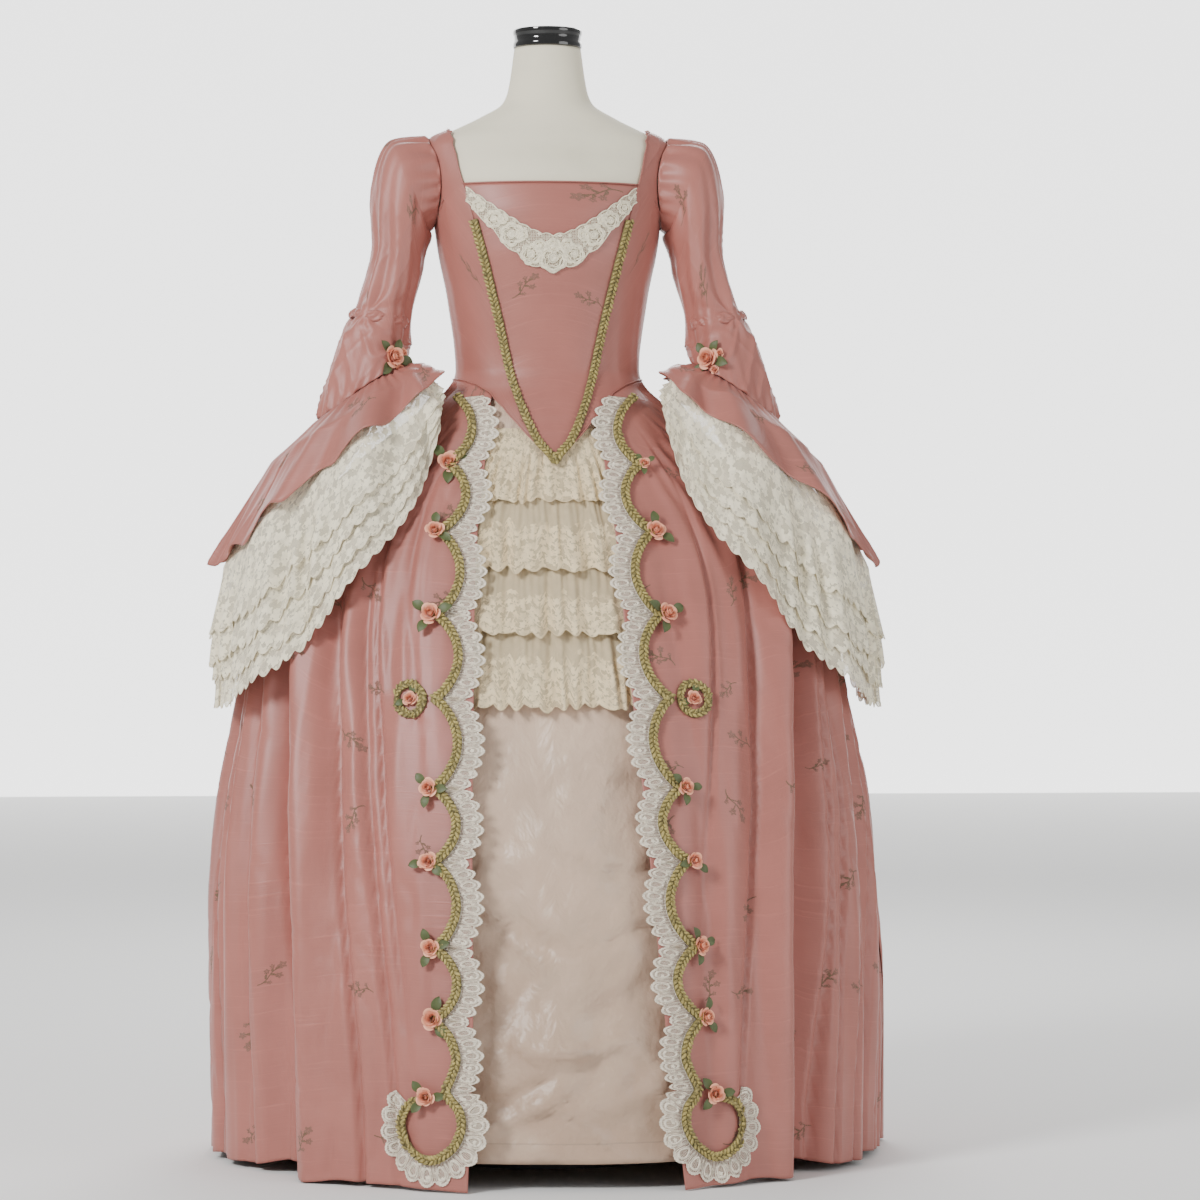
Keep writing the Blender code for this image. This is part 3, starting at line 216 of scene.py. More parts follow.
# The skirt braid's cusps, from the waist down, and its path round the loop at the bottom, as distance
# from the front edge and height.
CUSPS = (1.046, 0.953, 0.860, 0.748, 0.637, 0.520, 0.425, 0.314, 0.222)
CUSP_IN, BULGE_IN = 0.052, 0.020
LOOP = ((0.030, 0.200), (0.020, 0.172), (0.026, 0.148), (0.032, 0.128), (0.014, 0.106), (0.010, 0.082),
        (0.022, 0.056), (0.051, 0.040), (0.082, 0.056), (0.095, 0.086), (0.083, 0.112), (0.056, 0.119))
LOOP_CENTRE = (0.053, 0.082)
BRAID_LIFT, RING_LIFT, V_LIFT = 0.0042, 0.0013, 0.0018
LACE_LIFT, LACE_REACH = 0.0016, 0.036
LACE_PITCH = 0.0145  # one lobe of the edging lace, and one scallop of a flounce
FARTHEST_LOBES = 0.04  # lobes farther apart than this are not joined by net
RING_CUSP, RING_RADIUS = 4, 0.020
STOMACHER_BRAID_TOP = 1.292
BODICE_LACE = ((0.000, 1.266, 1.222), (0.020, 1.270, 1.226), (0.040, 1.280, 1.236), (0.060, 1.293, 1.253),
               (0.080, 1.307, 1.275), (0.100, 1.322, 1.299), (0.118, 1.336, 1.318))
# Roses on the overskirt's fronts: distance from the front edge, height, size, lift of the foot.
LEFT_ROSES = (
    (0.053, 0.953, 0.017, 0.0082),
    (0.056, 0.860, 0.014, 0.0082),
    (0.057, 0.748, 0.016, 0.0082),
    (0.087, 0.637, 0.0112, 0.0011),
    (0.056, 0.520, 0.014, 0.0082),
    (0.058, 0.425, 0.014, 0.0082),
    (0.056, 0.314, 0.014, 0.0082),
    (0.055, 0.222, 0.016, 0.0082),
    (0.060, 0.122, 0.014, 0.0082),
)
RIGHT_ROSES = (
    (0.056, 0.953, 0.009, 0.0082),
    (0.056, 0.860, 0.015, 0.0082),
    (0.057, 0.748, 0.016, 0.0082),
    (0.087, 0.637, 0.0112, 0.0011),
    (0.055, 0.520, 0.013, 0.0088),
    (0.058, 0.425, 0.013, 0.0082),
    (0.056, 0.314, 0.014, 0.0082),
    (0.055, 0.222, 0.014, 0.0082),
    (0.060, 0.122, 0.014, 0.0082),
)
SLEEVE_ROSE = (2.20, 6.35, 0.017)
CAP_PROFILE = ((0.0, 0.0), (0.0465, 0.0), (0.0480, 0.0010), (0.0484, 0.0040), (0.0480, 0.0070), (0.0468, 0.0088),
               (0.0464, 0.0130), (0.0468, 0.0172), (0.0480, 0.0188), (0.0485, 0.0220), (0.0482, 0.0245),
               (0.0470, 0.0257), (0.0440, 0.0260), (0.0, 0.0260))


def smooth_curve(table, column):
    """A smooth curve through one column of a table, against its first column."""
    at = np.array([row[0] for row in table], float)
    value = np.array([row[column] for row in table], float)
    step = np.diff(value) / np.diff(at)
    slope = np.zeros(len(at))
    rising = step[1:] * step[:-1] > 0
    slope[1:-1][rising] = 2 * step[1:][rising] * step[:-1][rising] / (step[1:] + step[:-1])[rising]
    slope[0], slope[-1] = step[0], step[-1]

    def curve(x):
        x = np.clip(x, at[0], at[-1])
        i = np.clip(np.searchsorted(at, x) - 1, 0, len(at) - 2)
        wide = at[i + 1] - at[i]
        t = (x - at[i]) / wide
        from_left = value[i] * (1 + 2 * t) * (1 - t) ** 2 + slope[i] * wide * t * (1 - t) ** 2
        from_right = value[i + 1] * t * t * (3 - 2 * t) + slope[i + 1] * wide * t * t * (t - 1)
        return from_left + from_right

    return curve


def ease(x):
    """0 below 0, 1 above 1, and a smooth step between."""
    x = np.clip(x, 0.0, 1.0)
    return x * x * (3 - 2 * x)


class Ripple:
    """Smooth noise of two measures, from -1 to 1, the same each run."""

    def __init__(self, seed):
        self.values = np.random.default_rng(seed).uniform(-1, 1, (128, 128))

    def at(self, u, v):
        u, v = np.broadcast_arrays(u, v)
        i, j = np.floor(u).astype(int), np.floor(v).astype(int)
        a, b = ease(u - i), ease(v - j)
        grid = self.values
        low = grid[i % 128, j % 128] * (1 - a) + grid[(i + 1) % 128, j % 128] * a
        high = grid[i % 128, (j + 1) % 128] * (1 - a) + grid[(i + 1) % 128, (j + 1) % 128] * a
        return low * (1 - b) + high * b

    def ridge(self, u, v):
        """Thin raised creases with flat cloth between them, from 0 to 1."""
        return np.clip(1 - 3.2 * np.abs(self.at(u, v)), 0, 1) ** 2 * ease(0.7 + self.at(u * 0.37 + 31, v * 0.37 + 17))


GOWN = [smooth_curve(GOWN_ROWS, column) for column in (1, 2, 3)]
HIPS = [smooth_curve(HIP_ROWS, column) for column in (1, 2, 3)]
form_inset = smooth_curve(FORM_INSET, 1)
petticoat_front = smooth_curve(PETTICOAT_INSET, 1)
petticoat_side = smooth_curve(PETTICOAT_INSET, 2)
left_edge = smooth_curve(FRONT_EDGES, 1)
right_edge = smooth_curve(FRONT_EDGES, 2)
SKIRT_NOISE, SATIN_NOISE, BODICE_NOISE, SLEEVE_NOISE, LACE_NOISE = (Ripple(seed) for seed in (3, 11, 23, 31, 47))


def oval(phi, z, rows, lift):
    """A point on an oval section. phi is in radians from the middle of the front, towards +X."""
    half_width, front, back = (curve(z) for curve in rows)
    depth = np.where(np.cos(phi) > 0, front, back)
    return np.stack([(half_width + lift) * np.sin(phi), -(depth + lift) * np.cos(phi), z + 0 * phi], -1)


def gown(phi, z, lift=0.0):
    """The gown's outer surface before its folds."""
    return oval(phi, z, GOWN, lift)


def lower_edge(phi):
    """The height of the bodice's lower edge at an azimuth in radians."""
    degrees, heights = zip(*LOWER_EDGE)
    return np.interp(np.abs(np.degrees(phi)), degrees, heights)


def fold_depth(phi, z):
    """How far the overskirt's main folds move its surface inwards."""
    degrees = np.degrees(phi)
    down = (WAIST - z) / WAIST
    total = 0 * degrees
    for at_waist, at_hem, half_width, depth, half_height in FOLDS:
        centre = at_waist + (at_hem - at_waist) * ease(down / 0.75) ** 0.7
        width = half_width * (0.55 + 0.45 * down)
        share = ease((WAIST - z) / (2 * (WAIST - half_height)))
        total = total + depth * share * np.exp(-(((degrees - centre) / width) ** 2))
    around = (np.abs(degrees) - 96.0) / 84.0
    pleat = 0.5 - 0.5 * np.cos(TURN * BACK_FOLDS * np.clip(around, 0, 1))
    share = ease((WAIST - z) / 0.55) * ease(around * 6)
    return total + BACK_FOLD_DEPTH * share * pleat


def skirt_creases(phi, z):
    """The overskirt's smaller folds and creases: gathers under the bodice, soft rolls, and drag lines."""
    degrees = np.degrees(phi)
    down = np.clip(lower_edge(phi) - z, 0, None)
    edge = np.where(phi < 0, np.abs(degrees) + left_edge(z), degrees - right_edge(z))
    clear = ease((edge - 1.0) / 10.0)
    spread = 1 + 0.35 * np.exp(-down / 0.10)
    gathers = np.sin(degrees * spread * 1.15 + 1.5 * SKIRT_NOISE.at(degrees / 9, z * 3))
    gathers = 0.0046 * gathers * ease(down / 0.02) * np.exp(-down / 0.16)
    gathers = gathers * ease((edge - 9 - 24 * ease((z - 0.95) / 0.08)) / 9)
    rolls = 0.0066 * SKIRT_NOISE.at(degrees / 5.5 + 3, z * 1.1 + 9) * ease(down / 0.25)
    rolls = rolls + 0.0020 * SKIRT_NOISE.at(degrees / 2.1, z * 2.6 + 40) * ease(down / 0.15)
    fan = degrees - 16 * np.sign(phi) * ease(z / WAIST)
    valleys = np.clip(1 - 3.4 * np.abs(SKIRT_NOISE.at(fan / 5.2 + 61, z * 0.55 + 3)), 0, 1) ** 1.4
    valleys = 0.0150 * valleys * ease(down / 0.35) * ease((edge - 7) / 12)
    slope = z * 26 + degrees * 0.16
    drag = 0.0026 * SKIRT_NOISE.ridge(slope * 0.55 + 7, degrees / 9 + 5) * ease(down / 0.1)
    drag = drag + 0.0013 * SKIRT_NOISE.ridge(degrees / 2.6 + z * 7, z * 5 + 3) * ease(down / 0.1)
    return (gathers + rolls + valleys + drag) * clear


def overskirt(phi, z, lift=0.0):
    """The overskirt's outer surface, with its folds and creases."""
    return gown(phi, z, lift - fold_depth(phi, z) - skirt_creases(phi, z))


def petticoat_lift(phi, z):
    """The petticoat's distance from the gown's surface, below 0 because it lies inside."""
    side = ease((np.abs(np.degrees(phi)) - 24.0) / 22.0)
    soft = 0.004 * np.sin(phi * 9 + 2.2 * z) * ease((0.62 - z) / 0.3) * (1 + 1.2 * side)
    return -petticoat_front(z) - petticoat_side(z) * side + soft


def satin_creases(phi, z):
    """The petticoat's crumpled satin, below its flounces."""
    x, level = phi * 0.35, z
    share = ease((0.66 - z) / 0.1) * ease((z - 0.02) / 0.06)
    soft = 0.0058 * SATIN_NOISE.at(x * 19 + level * 6, level * 11 - x * 9)
    fine = 0.0022 * SATIN_NOISE.at(x * 52 - level * 26, level * 33 + x * 22)
    line = 0.0070 * SATIN_NOISE.ridge(x * 13 + level * 13 + 5, level * 9 - x * 9)
    line = line - 0.0050 * SATIN_NOISE.ridge(x * 10 - level * 15 + 35, level * 8 + x * 7 + 50)
    return (soft + fine + line) * share


def petticoat(phi, z, lift=0.0):
    """The petticoat's outer surface."""
    return gown(phi, z, lift + petticoat_lift(phi, z))


def normals(surface, u, v, step=1e-4):
    """The outward unit normals of a surface of two parameters."""
    across = surface(u + step, v) - surface(u - step, v)
    up = surface(u, v + step) - surface(u, v - step)
    found = np.cross(across, up)
    return found / np.maximum(np.linalg.norm(found, axis=-1, keepdims=True), 1e-12)


def side_seam(z):
    """The overskirt's side seam, an azimuth in degrees."""
    return SIDE_SEAM_AT_HEM + (SIDE_SEAM_AT_WAIST - SIDE_SEAM_AT_HEM) * z / WAIST


def front_edge(side, z):
    """The overskirt's front edge on one side, an azimuth in degrees away from the middle."""
    return np.where(side < 0, -left_edge(z), right_edge(z))


def skirt_height(phi, share):
    """The height at a share of the way from the overskirt's hem to the bodice."""
    hem = HEM_LIFT_SHARE * np.clip(fold_depth(phi, 0.0), 0, None)
    top = lower_edge(phi) - SEAM_GAP
    return hem + (top - hem) * share


def front_grid(side, u, share):
    """Azimuth and height of an overskirt front's points, at shares across and up."""
    z = WAIST * share + 0 * u
    for _ in range(6):
        start = front_edge(side, z)
        phi = np.radians(side * (start + (side_seam(z) - start) * u))
        z = skirt_height(phi, share)
    return phi, z


def on_front(side, inward, z, lift):
    """Points over an overskirt front, at distances inwards from its front edge, at heights and lifts."""
    inward, z, lift = np.broadcast_arrays(np.asarray(inward, float), z, lift)
    lift = lift + 0.0012 * ease((z - 0.99) / 0.04)
    start = np.radians(front_edge(side, z))
    phi = side * (start + inward / (GOWN[0](z) * np.cos(start)))
    return overskirt(phi, z) + lift[..., None] * normals(overskirt, phi, z, 2e-3)


def azimuth_at(x, z):
    """The azimuth where the gown's surface is at a distance x from the middle."""
    return np.arcsin(np.clip(x / GOWN[0](z), -1, 1))


def on_gown(x, z, lift):
    """Points over the bodice's own surface, at distances from the middle of the front and heights."""
    x, z, lift = np.broadcast_arrays(np.asarray(x, float), z, lift)
    phi = azimuth_at(x, z)
    return gown(phi, z) + lift[..., None] * normals(gown, phi, z)


def armhole(alpha, behind=False):
    """Azimuth and height on the armhole, at an angle from its top."""
    z = ARMHOLE_Z + ARMHOLE_HIGH * math.cos(alpha)
    y = ARMHOLE_DEEP * math.sin(alpha)
    depth = GOWN[2 if behind else 1](z)
    phi = math.acos(min(1.0, y / depth))
    return (math.pi - phi if behind else phi), z


def front_body(shares):
    """Azimuth and height of a bodice front's points below the armhole, a row for each of the point line."""
    foot = np.array([row[0] for row in LOWER_EDGE[1:10]])
    foot = (foot - foot[0]) / (90 - foot[0])
    even = np.linspace(0, 1, len(foot))
    phi, z = [], []
    for share, (inner_z, inner_x) in zip(shares, POINT_LINE):
        inner_phi = azimuth_at(inner_x, inner_z) + SEAM_GAP / 2 / GOWN[1](inner_z)
        outer_z = LOWER_EDGE[9][1] + (UNDERARM - LOWER_EDGE[9][1]) * share
        across = foot + (even - foot) * math.sqrt(share)
        around = inner_phi + (math.pi / 2 - SEAM_GAP / 2 / 0.11 - inner_phi) * across
        start, end = lower_edge(inner_phi), lower_edge(math.pi / 2)
        rise = (lower_edge(around) - start) / (end - start)
        phi.append(around)
        z.append(inner_z + (outer_z - inner_z) * ((1 - share) * rise + share * across))
    return phi, z


def back_body(shares):
    """Azimuth and height of a bodice back's points below the armhole."""
    across = np.array(BACK_SHARES)
    first = across[BACK_FIRST]
    phi, z = [], []
    for share in shares:
        inner_z = lower_edge(math.pi) + (NECKLINE - lower_edge(math.pi)) * share
        outer_z = LOWER_EDGE[9][1] + (UNDERARM - LOWER_EDGE[9][1]) * share
        around = math.pi - SEAM_GAP / 2 / 0.11 - (math.pi / 2 - SEAM_GAP / 0.11) * across
        foot = lower_edge(around) + (NECKLINE - lower_edge(math.pi)) * share
        level = np.clip((across - first) / (1 - first), 0, 1)
        drop = (outer_z - inner_z) * level
        at_foot = (outer_z - inner_z - (lower_edge(math.pi / 2) - lower_edge(math.pi))) * level
        phi.append(around)
        z.append(foot * (1 - share) + share * inner_z + drop * share + (1 - share) * at_foot)
    return phi, z


def strap(wide, behind):
    """Azimuth and height of a strap's points, from just over the neckline to the shoulder line."""
    across = np.linspace(0, 1, wide)
    phi, z = [], []
    for step, (height, x) in enumerate(STRAP_EDGE[1:], 1):
        inner_phi = azimuth_at(x, height)
        inner_phi = math.pi - inner_phi if behind else inner_phi
        outer_phi, outer_z = armhole(math.pi * (1 - step / len(STRAP_EDGE)), behind)
        phi.append(inner_phi + (outer_phi - inner_phi) * across)
        z.append(height + (outer_z - height) * across)
    phi.append(np.full(wide, math.pi / 2 + SHOULDER_HALF_GAP * (1 if behind else -1)))
    z.append(SHOULDER_Z + (ARMHOLE_Z + ARMHOLE_HIGH - SHOULDER_Z) * across)
    return phi, z


def finer(grid, times):
    """A grid of numbers with more rows and columns, straight between the old ones."""
    rows, columns = grid.shape
    at = np.linspace(0, columns - 1, (columns - 1) * times + 1)
    wide = np.array([np.interp(at, np.arange(columns), row) for row in grid])
    at = np.linspace(0, rows - 1, (rows - 1) * times + 1)
    return np.array([np.interp(at, np.arange(rows), column) for column in wide.T]).T


SLEEVE_CURVES = [smooth_curve([(k, *row) for k, row in enumerate(SLEEVE_RINGS)], c) for c in range(1, 7)]


def ring(psi, x, y, z, tilt, half_width, half_depth):
    """A point on a tilted ring. psi is 0 at the outer end and a quarter turn at the front."""
    lean = np.radians(tilt)
    out = half_width * np.cos(psi)
    return np.stack([x + out * np.sin(lean), y - half_depth * np.sin(psi), z + out * np.cos(lean)], -1)


def armhole_ring(psi):
    """The sleeve's first ring, 1 mm outside the armhole's edge and just off the bodice."""
    z = ARMHOLE_Z + (ARMHOLE_HIGH + 0.001) * np.cos(psi)
    y = -(ARMHOLE_DEEP + 0.001) * np.sin(psi)
    half_width, front, back = (curve(z) for curve in GOWN)
    depth = np.where(y < 0, front, back)
    x = half_width * np.sqrt(1 - (y / depth) ** 2)
    return np.stack([x + 0.0014, y + 0.0008 * np.sign(y), z], -1)


def sleeve(psi, t):
    """The right sleeve's outer surface before its creases. t counts the rings."""
    psi, t = np.broadcast_arrays(psi, t)
    body = ring(psi, *(curve(t) for curve in SLEEVE_CURVES))
    head = np.clip(1 - t, 0, 1)[..., None]
    first = ring(psi, *(np.full(t.shape, value) for value in SLEEVE_RINGS[0]))
    return body + head * (armhole_ring(psi) - first)


def off_skirt(points, psi, margin):
    """The points moved out of the skirt's way: outwards at the outer end, and to the front or the back."""
    x, y, z = points[..., 0], points[..., 1], points[..., 2]
    wide = GOWN[0](z) + margin
    deep = np.where(y < 0, GOWN[1](z), GOWN[2](z)) + margin
    turn = np.abs((psi + math.pi) % (TURN) - math.pi)
    outward = 1 - ease((np.degrees(turn) - 30) / 50)
    core = 0.2
    away = np.hypot(x - core, y)
    ux, uy = (x - core) / away, y / away
    a = (ux / wide) ** 2 + (uy / deep) ** 2
    b = 2 * core * ux / wide**2
    c = (core / wide) ** 2 - 1
    reach = (-b + np.sqrt(np.maximum(b * b - 4 * a * c, 0))) / (2 * a)
    push = np.clip(reach - away, 0, None) * outward
    x, y = x + ux * push, y + uy * push
    room = 1 - (x / wide) ** 2
    edge = deep * np.sqrt((room + np.sqrt(room**2 + 0.002)) / 2)
    short = edge - np.abs(y)
    y = y + np.where(y < 0, -1, 1) * (short + np.sqrt(short**2 + 0.012**2)) / 2
    return np.stack([x, y, z], -1)


def cuff_line(psi, row):
    """One line of the carrier, clear of the skirt."""
    place, outer_x, outer_z, inner_x, inner_z, half_depth, sag, _ = row
    half_x = (outer_x - inner_x) / 2
    behind = ease(-np.sin(psi) * 1.5)
    fall = ((1 + np.cos(psi)) / 2) ** (1.3 + 0.6 * behind)
    turn = (np.degrees(psi) + 180) % 360 - 180
    inward = np.exp(-(((turn - 132) / 36) ** 2)) * place / 2
    x = (outer_x + inner_x) / 2 + half_x * np.cos(psi) - 0.050 * inward
    y = -0.026 * (1 - np.cos(psi)) / 2 - half_depth * np.sin(psi) - 0.03 * inward
    z = inner_z + (outer_z - inner_z) * fall - sag * (1 - 0.6 * behind) * np.sin(psi) ** 2 - 0.02 * inward
    return off_skirt(np.stack([x, y, z], -1), psi, CUFF_MARGIN)


CUFF_PLACES = np.array([0.0, GATHER_AT] + [row[0] for row in CUFF_LINES])


def cuff_flat(psi, t):
    """The carrier before its waves."""
    psi, t = np.broadcast_arrays(psi, t)
    seam = sleeve(psi, np.full(psi.shape, float(len(SLEEVE_RINGS) - 1))) + np.array([0.0, 0.0, -0.0009])
    lines = [cuff_line(psi, row) for row in CUFF_LINES]
    level = np.stack([np.cos(psi), -np.sin(psi), 0 * psi], -1)
    gathers = seam + GATHER_AT * (lines[0] - seam) + GATHER_OUT * level
    lines = np.array([seam, gathers] + lines)
    k = np.clip(np.searchsorted(CUFF_PLACES, t, side="right") - 1, 0, len(CUFF_PLACES) - 2)
    share = ((t - CUFF_PLACES[k]) / (CUFF_PLACES[k + 1] - CUFF_PLACES[k]))[..., None]
    before = np.take_along_axis(lines, k[None, ..., None], 0)[0]
    after = np.take_along_axis(lines, k[None, ..., None] + 1, 0)[0]
    return before + (after - before) * share


def cuff_facing(psi, t):
    """The way in which the cuff's layers lie over one another: its normal, taken over a wide step."""
    across = cuff_flat(psi + 0.15, t) - cuff_flat(psi - 0.15, t)
    along = cuff_flat(psi, np.minimum(t + 0.35, 2.0)) - cuff_flat(psi, np.maximum(t - 0.35, 0.0))
    found = np.cross(across, along)
    return found / np.linalg.norm(found, axis=-1, keepdims=True)


def cuff(psi, t):
    """The carrier below the right sleeve: t is 0 at its seam, 1 at the flounce's edge, 2 at the last lace's."""
    psi, t = np.broadcast_arrays(psi, t)
    height = np.interp(t, CUFF_PLACES, [0.0, GATHER_WAVE] + [row[7] for row in CUFF_LINES])
    gathers = (0.5 + np.cos(CUFF_WAVES * psi)) / 1.5
    gathers = gathers * (0.35 + 0.65 * np.abs(np.cos((psi - math.pi) / 2)))
    return cuff_flat(psi, t) + (height * gathers)[..., None] * cuff_facing(psi, t)


def on_side(surface, side):
    """A right-hand surface, or its mirror image for the left side."""
    if side > 0:
        return surface
    return lambda u, v: surface(-u, v) * np.array([-1.0, 1.0, 1.0])


def link(item):
    """Put an object into the scene."""
    bpy.context.scene.collection.objects.link(item)


def outward(mesh):
    """Turn the mesh's faces outwards."""
    work = bmesh.new()
    work.from_mesh(mesh)
    bmesh.ops.recalc_face_normals(work, faces=work.faces)
    work.to_mesh(mesh)
    work.free()


def collect(name, mesh, finish):
    """A finished mesh as a piece that rides on the part, in its material."""
    if finish is not None:
        mesh.materials.clear()
        mesh.materials.append(finish)
    piece = bpy.data.objects.new(name, mesh)
    link(piece)
    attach(piece, "root")
    return piece


def flat_measure(points):
    """The flat measures of a grid of points, in metres: straight threads along its columns, as gathered cloth has."""
    along = np.linalg.norm(np.diff(points, axis=1), axis=2).mean(0)
    along = np.concatenate([[0.0], np.cumsum(along)])
    along = along - along[len(along) // 2]
    up = np.cumsum(np.linalg.norm(np.diff(points, axis=0), axis=2), 0)
    up = np.concatenate([np.zeros((1, up.shape[1])), up])
    return np.stack([along[None, :] + 0 * up, up], -1)


def grid_area(points):
    """The area of a grid of points, in square metres."""
    a = points[1:, :-1] - points[:-1, :-1]
    b = points[:-1, 1:] - points[:-1, :-1]
    return float(np.linalg.norm(np.cross(a, b), axis=-1).sum())


def cloth_mesh(name, grids, thickness=0.0):
    """One mesh of quads through one or more grids of points and their flat measures, joined where they meet.

    With a thickness it is a closed wall, grown inwards."""
    mesh = bpy.data.meshes.new(name)
    points, quads, flat = [], [], []
    start = 0
    for grid, measure in grids:
        rows, columns = grid.shape[:2]
        index = start + np.arange(rows * columns).reshape(rows, columns)
        quads.append(np.stack([index[:-1, :-1], index[:-1, 1:], index[1:, 1:], index[1:, :-1]], -1).reshape(-1, 4))
        points.append((grid + CENTRE).reshape(-1, 3))
        flat.append(measure.reshape(-1, 2))
        start += rows * columns
    points, quads, flat = (np.concatenate(item) for item in (points, quads, flat))
    mesh.from_pydata(points.tolist(), [], quads.tolist())
    layer = mesh.uv_layers.new(name="cloth")
    layer.data.foreach_set("uv", flat[quads.reshape(-1)].reshape(-1))
    work = bmesh.new()
    work.from_mesh(mesh)
    bmesh.ops.remove_doubles(work, verts=work.verts, dist=1e-5)
    work.to_mesh(mesh)
    work.free()
    if thickness:
        holder = bpy.data.objects.new(name, mesh)
        link(holder)
        wall = holder.modifiers.new("wall", "SOLIDIFY")
        wall.thickness = thickness
        wall.offset = -1.0
        solid = bpy.data.meshes.new_from_object(holder.evaluated_get(bpy.context.evaluated_depsgraph_get()))
        bpy.data.objects.remove(holder)
        bpy.data.meshes.remove(mesh)
        mesh = solid
        mesh.name = name
    mesh.shade_smooth()
    return mesh


def cloth_piece(name, grids, thickness, finish, replaced=()):
    """A cloth piece on the part, with the flat measures that it was cut to."""
    grids = [(grid, flat_measure(grid) if measure is None else measure) for grid, measure in grids]
    piece = collect(name, cloth_mesh(name, grids, thickness), finish)
    if replaced:
        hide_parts(*replaced)
    area = sum(grid_area(grid) for grid, _ in grids)
    width = float(max(np.linalg.norm(np.diff(grid, axis=1), axis=2).sum(1).max() for grid, _ in grids))
    return piece


def turned_piece(name, profile, segments, middle, finish, replaced=()):
    """A turned piece from rows of radius and height, closed at both ends."""
    work = bmesh.new()
    turn = np.linspace(0, TURN, segments, endpoint=False)
    rings = []
    for radius, z in profile:
        if radius == 0:
            rings.append([work.verts.new((middle[0], middle[1], middle[2] + z))])
            continue
        rings.append([work.verts.new((middle[0] + radius * math.cos(a), middle[1] + radius * math.sin(a),
                                      middle[2] + z)) for a in turn])
    for low, high in zip(rings, rings[1:]):
        for k in range(segments):
            n = (k + 1) % segments
            corners = [low[k % len(low)], low[n % len(low)], high[n % len(high)], high[k % len(high)]]
            corners = list(dict.fromkeys(corners))
            work.faces.new(corners)
    bmesh.ops.recalc_face_normals(work, faces=work.faces)
    mesh = bpy.data.meshes.new(name)
    work.to_mesh(mesh)
    work.free()
    mesh.shade_smooth()
    mesh.set_sharp_from_angle(angle=math.radians(38))
    piece = collect(name, mesh, finish)
    if replaced:
        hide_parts(*replaced)
    return piece


def cord_mesh(name, paths, radius, sides=6, closed=False):
    """Round cords along paths of points, as one mesh with closed ends."""
    points, faces = [], []
    for path in paths:
        path = np.asarray(path) + CENTRE
        ahead = np.roll(path, -1, 0) if closed else np.concatenate([path[1:], path[-1:]])
        behind = np.roll(path, 1, 0) if closed else np.concatenate([path[:1], path[:-1]])
        along = ahead - behind
        along = along / np.linalg.norm(along, axis=1, keepdims=True)
        side = np.cross(along, (0.05, -0.83, 0.55))
        side = side / np.linalg.norm(side, axis=1, keepdims=True)
        up = np.cross(side, along)
        start, count = len(points), len(path)
        for k in range(count):
            for m in range(sides):
                a = TURN * m / sides
                points.append(path[k] + radius * (math.cos(a) * side[k] + math.sin(a) * up[k]))
        for k in range(count if closed else count - 1):
            n = (k + 1) % count
            for m in range(sides):
                q = (m + 1) % sides
                faces.append((start + k * sides + m, start + n * sides + m, start + n * sides + q,
                              start + k * sides + q))
        if not closed:
            faces.append(tuple(start + m for m in range(sides)))
            faces.append(tuple(start + (count - 1) * sides + m for m in reversed(range(sides))))
    mesh = bpy.data.meshes.new(name)
    mesh.from_pydata([tuple(p) for p in points], [], faces)
    outward(mesh)
    mesh.shade_smooth()
    return mesh


def template(name, points, faces):
    """A small mesh that is repeated, kept out of the scene."""
    mesh = bpy.data.meshes.new(name)
    mesh.from_pydata([tuple(map(float, p)) for p in points], [], faces)
    outward(mesh)
    return bpy.data.objects.new(name, mesh)


def sewn_repeat_tree():
    """Geometry nodes that sew a small piece on each point: upright on the cloth, turned along its row."""
    found = bpy.data.node_groups.get("sewn_repeat")
    if found:
        return found
    tree = bpy.data.node_groups.new("sewn_repeat", "GeometryNodeTree")
    tree.interface.new_socket("Places", in_out="INPUT", socket_type="NodeSocketGeometry")
    tree.interface.new_socket("Small piece", in_out="INPUT", socket_type="NodeSocketObject")
    tree.interface.new_socket("Finish", in_out="INPUT", socket_type="NodeSocketMaterial")
    size = tree.interface.new_socket("Size", in_out="INPUT", socket_type="NodeSocketFloat")
    size.default_value = 1.0
    size.min_value = 0.0
    tree.interface.new_socket("Sewn", in_out="OUTPUT", socket_type="NodeSocketGeometry")
    work = Nodes(tree)
    given = work.add("NodeGroupInput")
    shape = work.add("GeometryNodeObjectInfo", {"Object": given.outputs["Small piece"]}, transform_space="ORIGINAL")
    up = work.add("GeometryNodeInputNamedAttribute", {"Name": "up"}, data_type="FLOAT_VECTOR")
    along = work.add("GeometryNodeInputNamedAttribute", {"Name": "along"}, data_type="FLOAT_VECTOR")
    scale = work.add("GeometryNodeInputNamedAttribute", {"Name": "size"}, data_type="FLOAT")
    stood = work.add("FunctionNodeAlignRotationToVector", {"Vector": up.outputs[0]}, axis="Z")
    turned = work.add("FunctionNodeAlignRotationToVector",
                      {"Rotation": stood.outputs[0], "Vector": along.outputs[0]}, axis="X", pivot_axis="Z")
    total = work.times(scale.outputs[0], given.outputs["Size"])
    sewn = work.add("GeometryNodeInstanceOnPoints",
                    {"Points": given.outputs["Places"], "Instance": shape.outputs["Geometry"],
                     "Rotation": turned.outputs[0], "Scale": total})
    real = work.add("GeometryNodeRealizeInstances", {"Geometry": sewn.outputs[0]})
    dressed = work.add("GeometryNodeSetMaterial",
                       {"Geometry": real.outputs[0], "Material": given.outputs["Finish"]})
    work.add("NodeGroupOutput", {"Sewn": dressed.outputs[0]})
    return tree


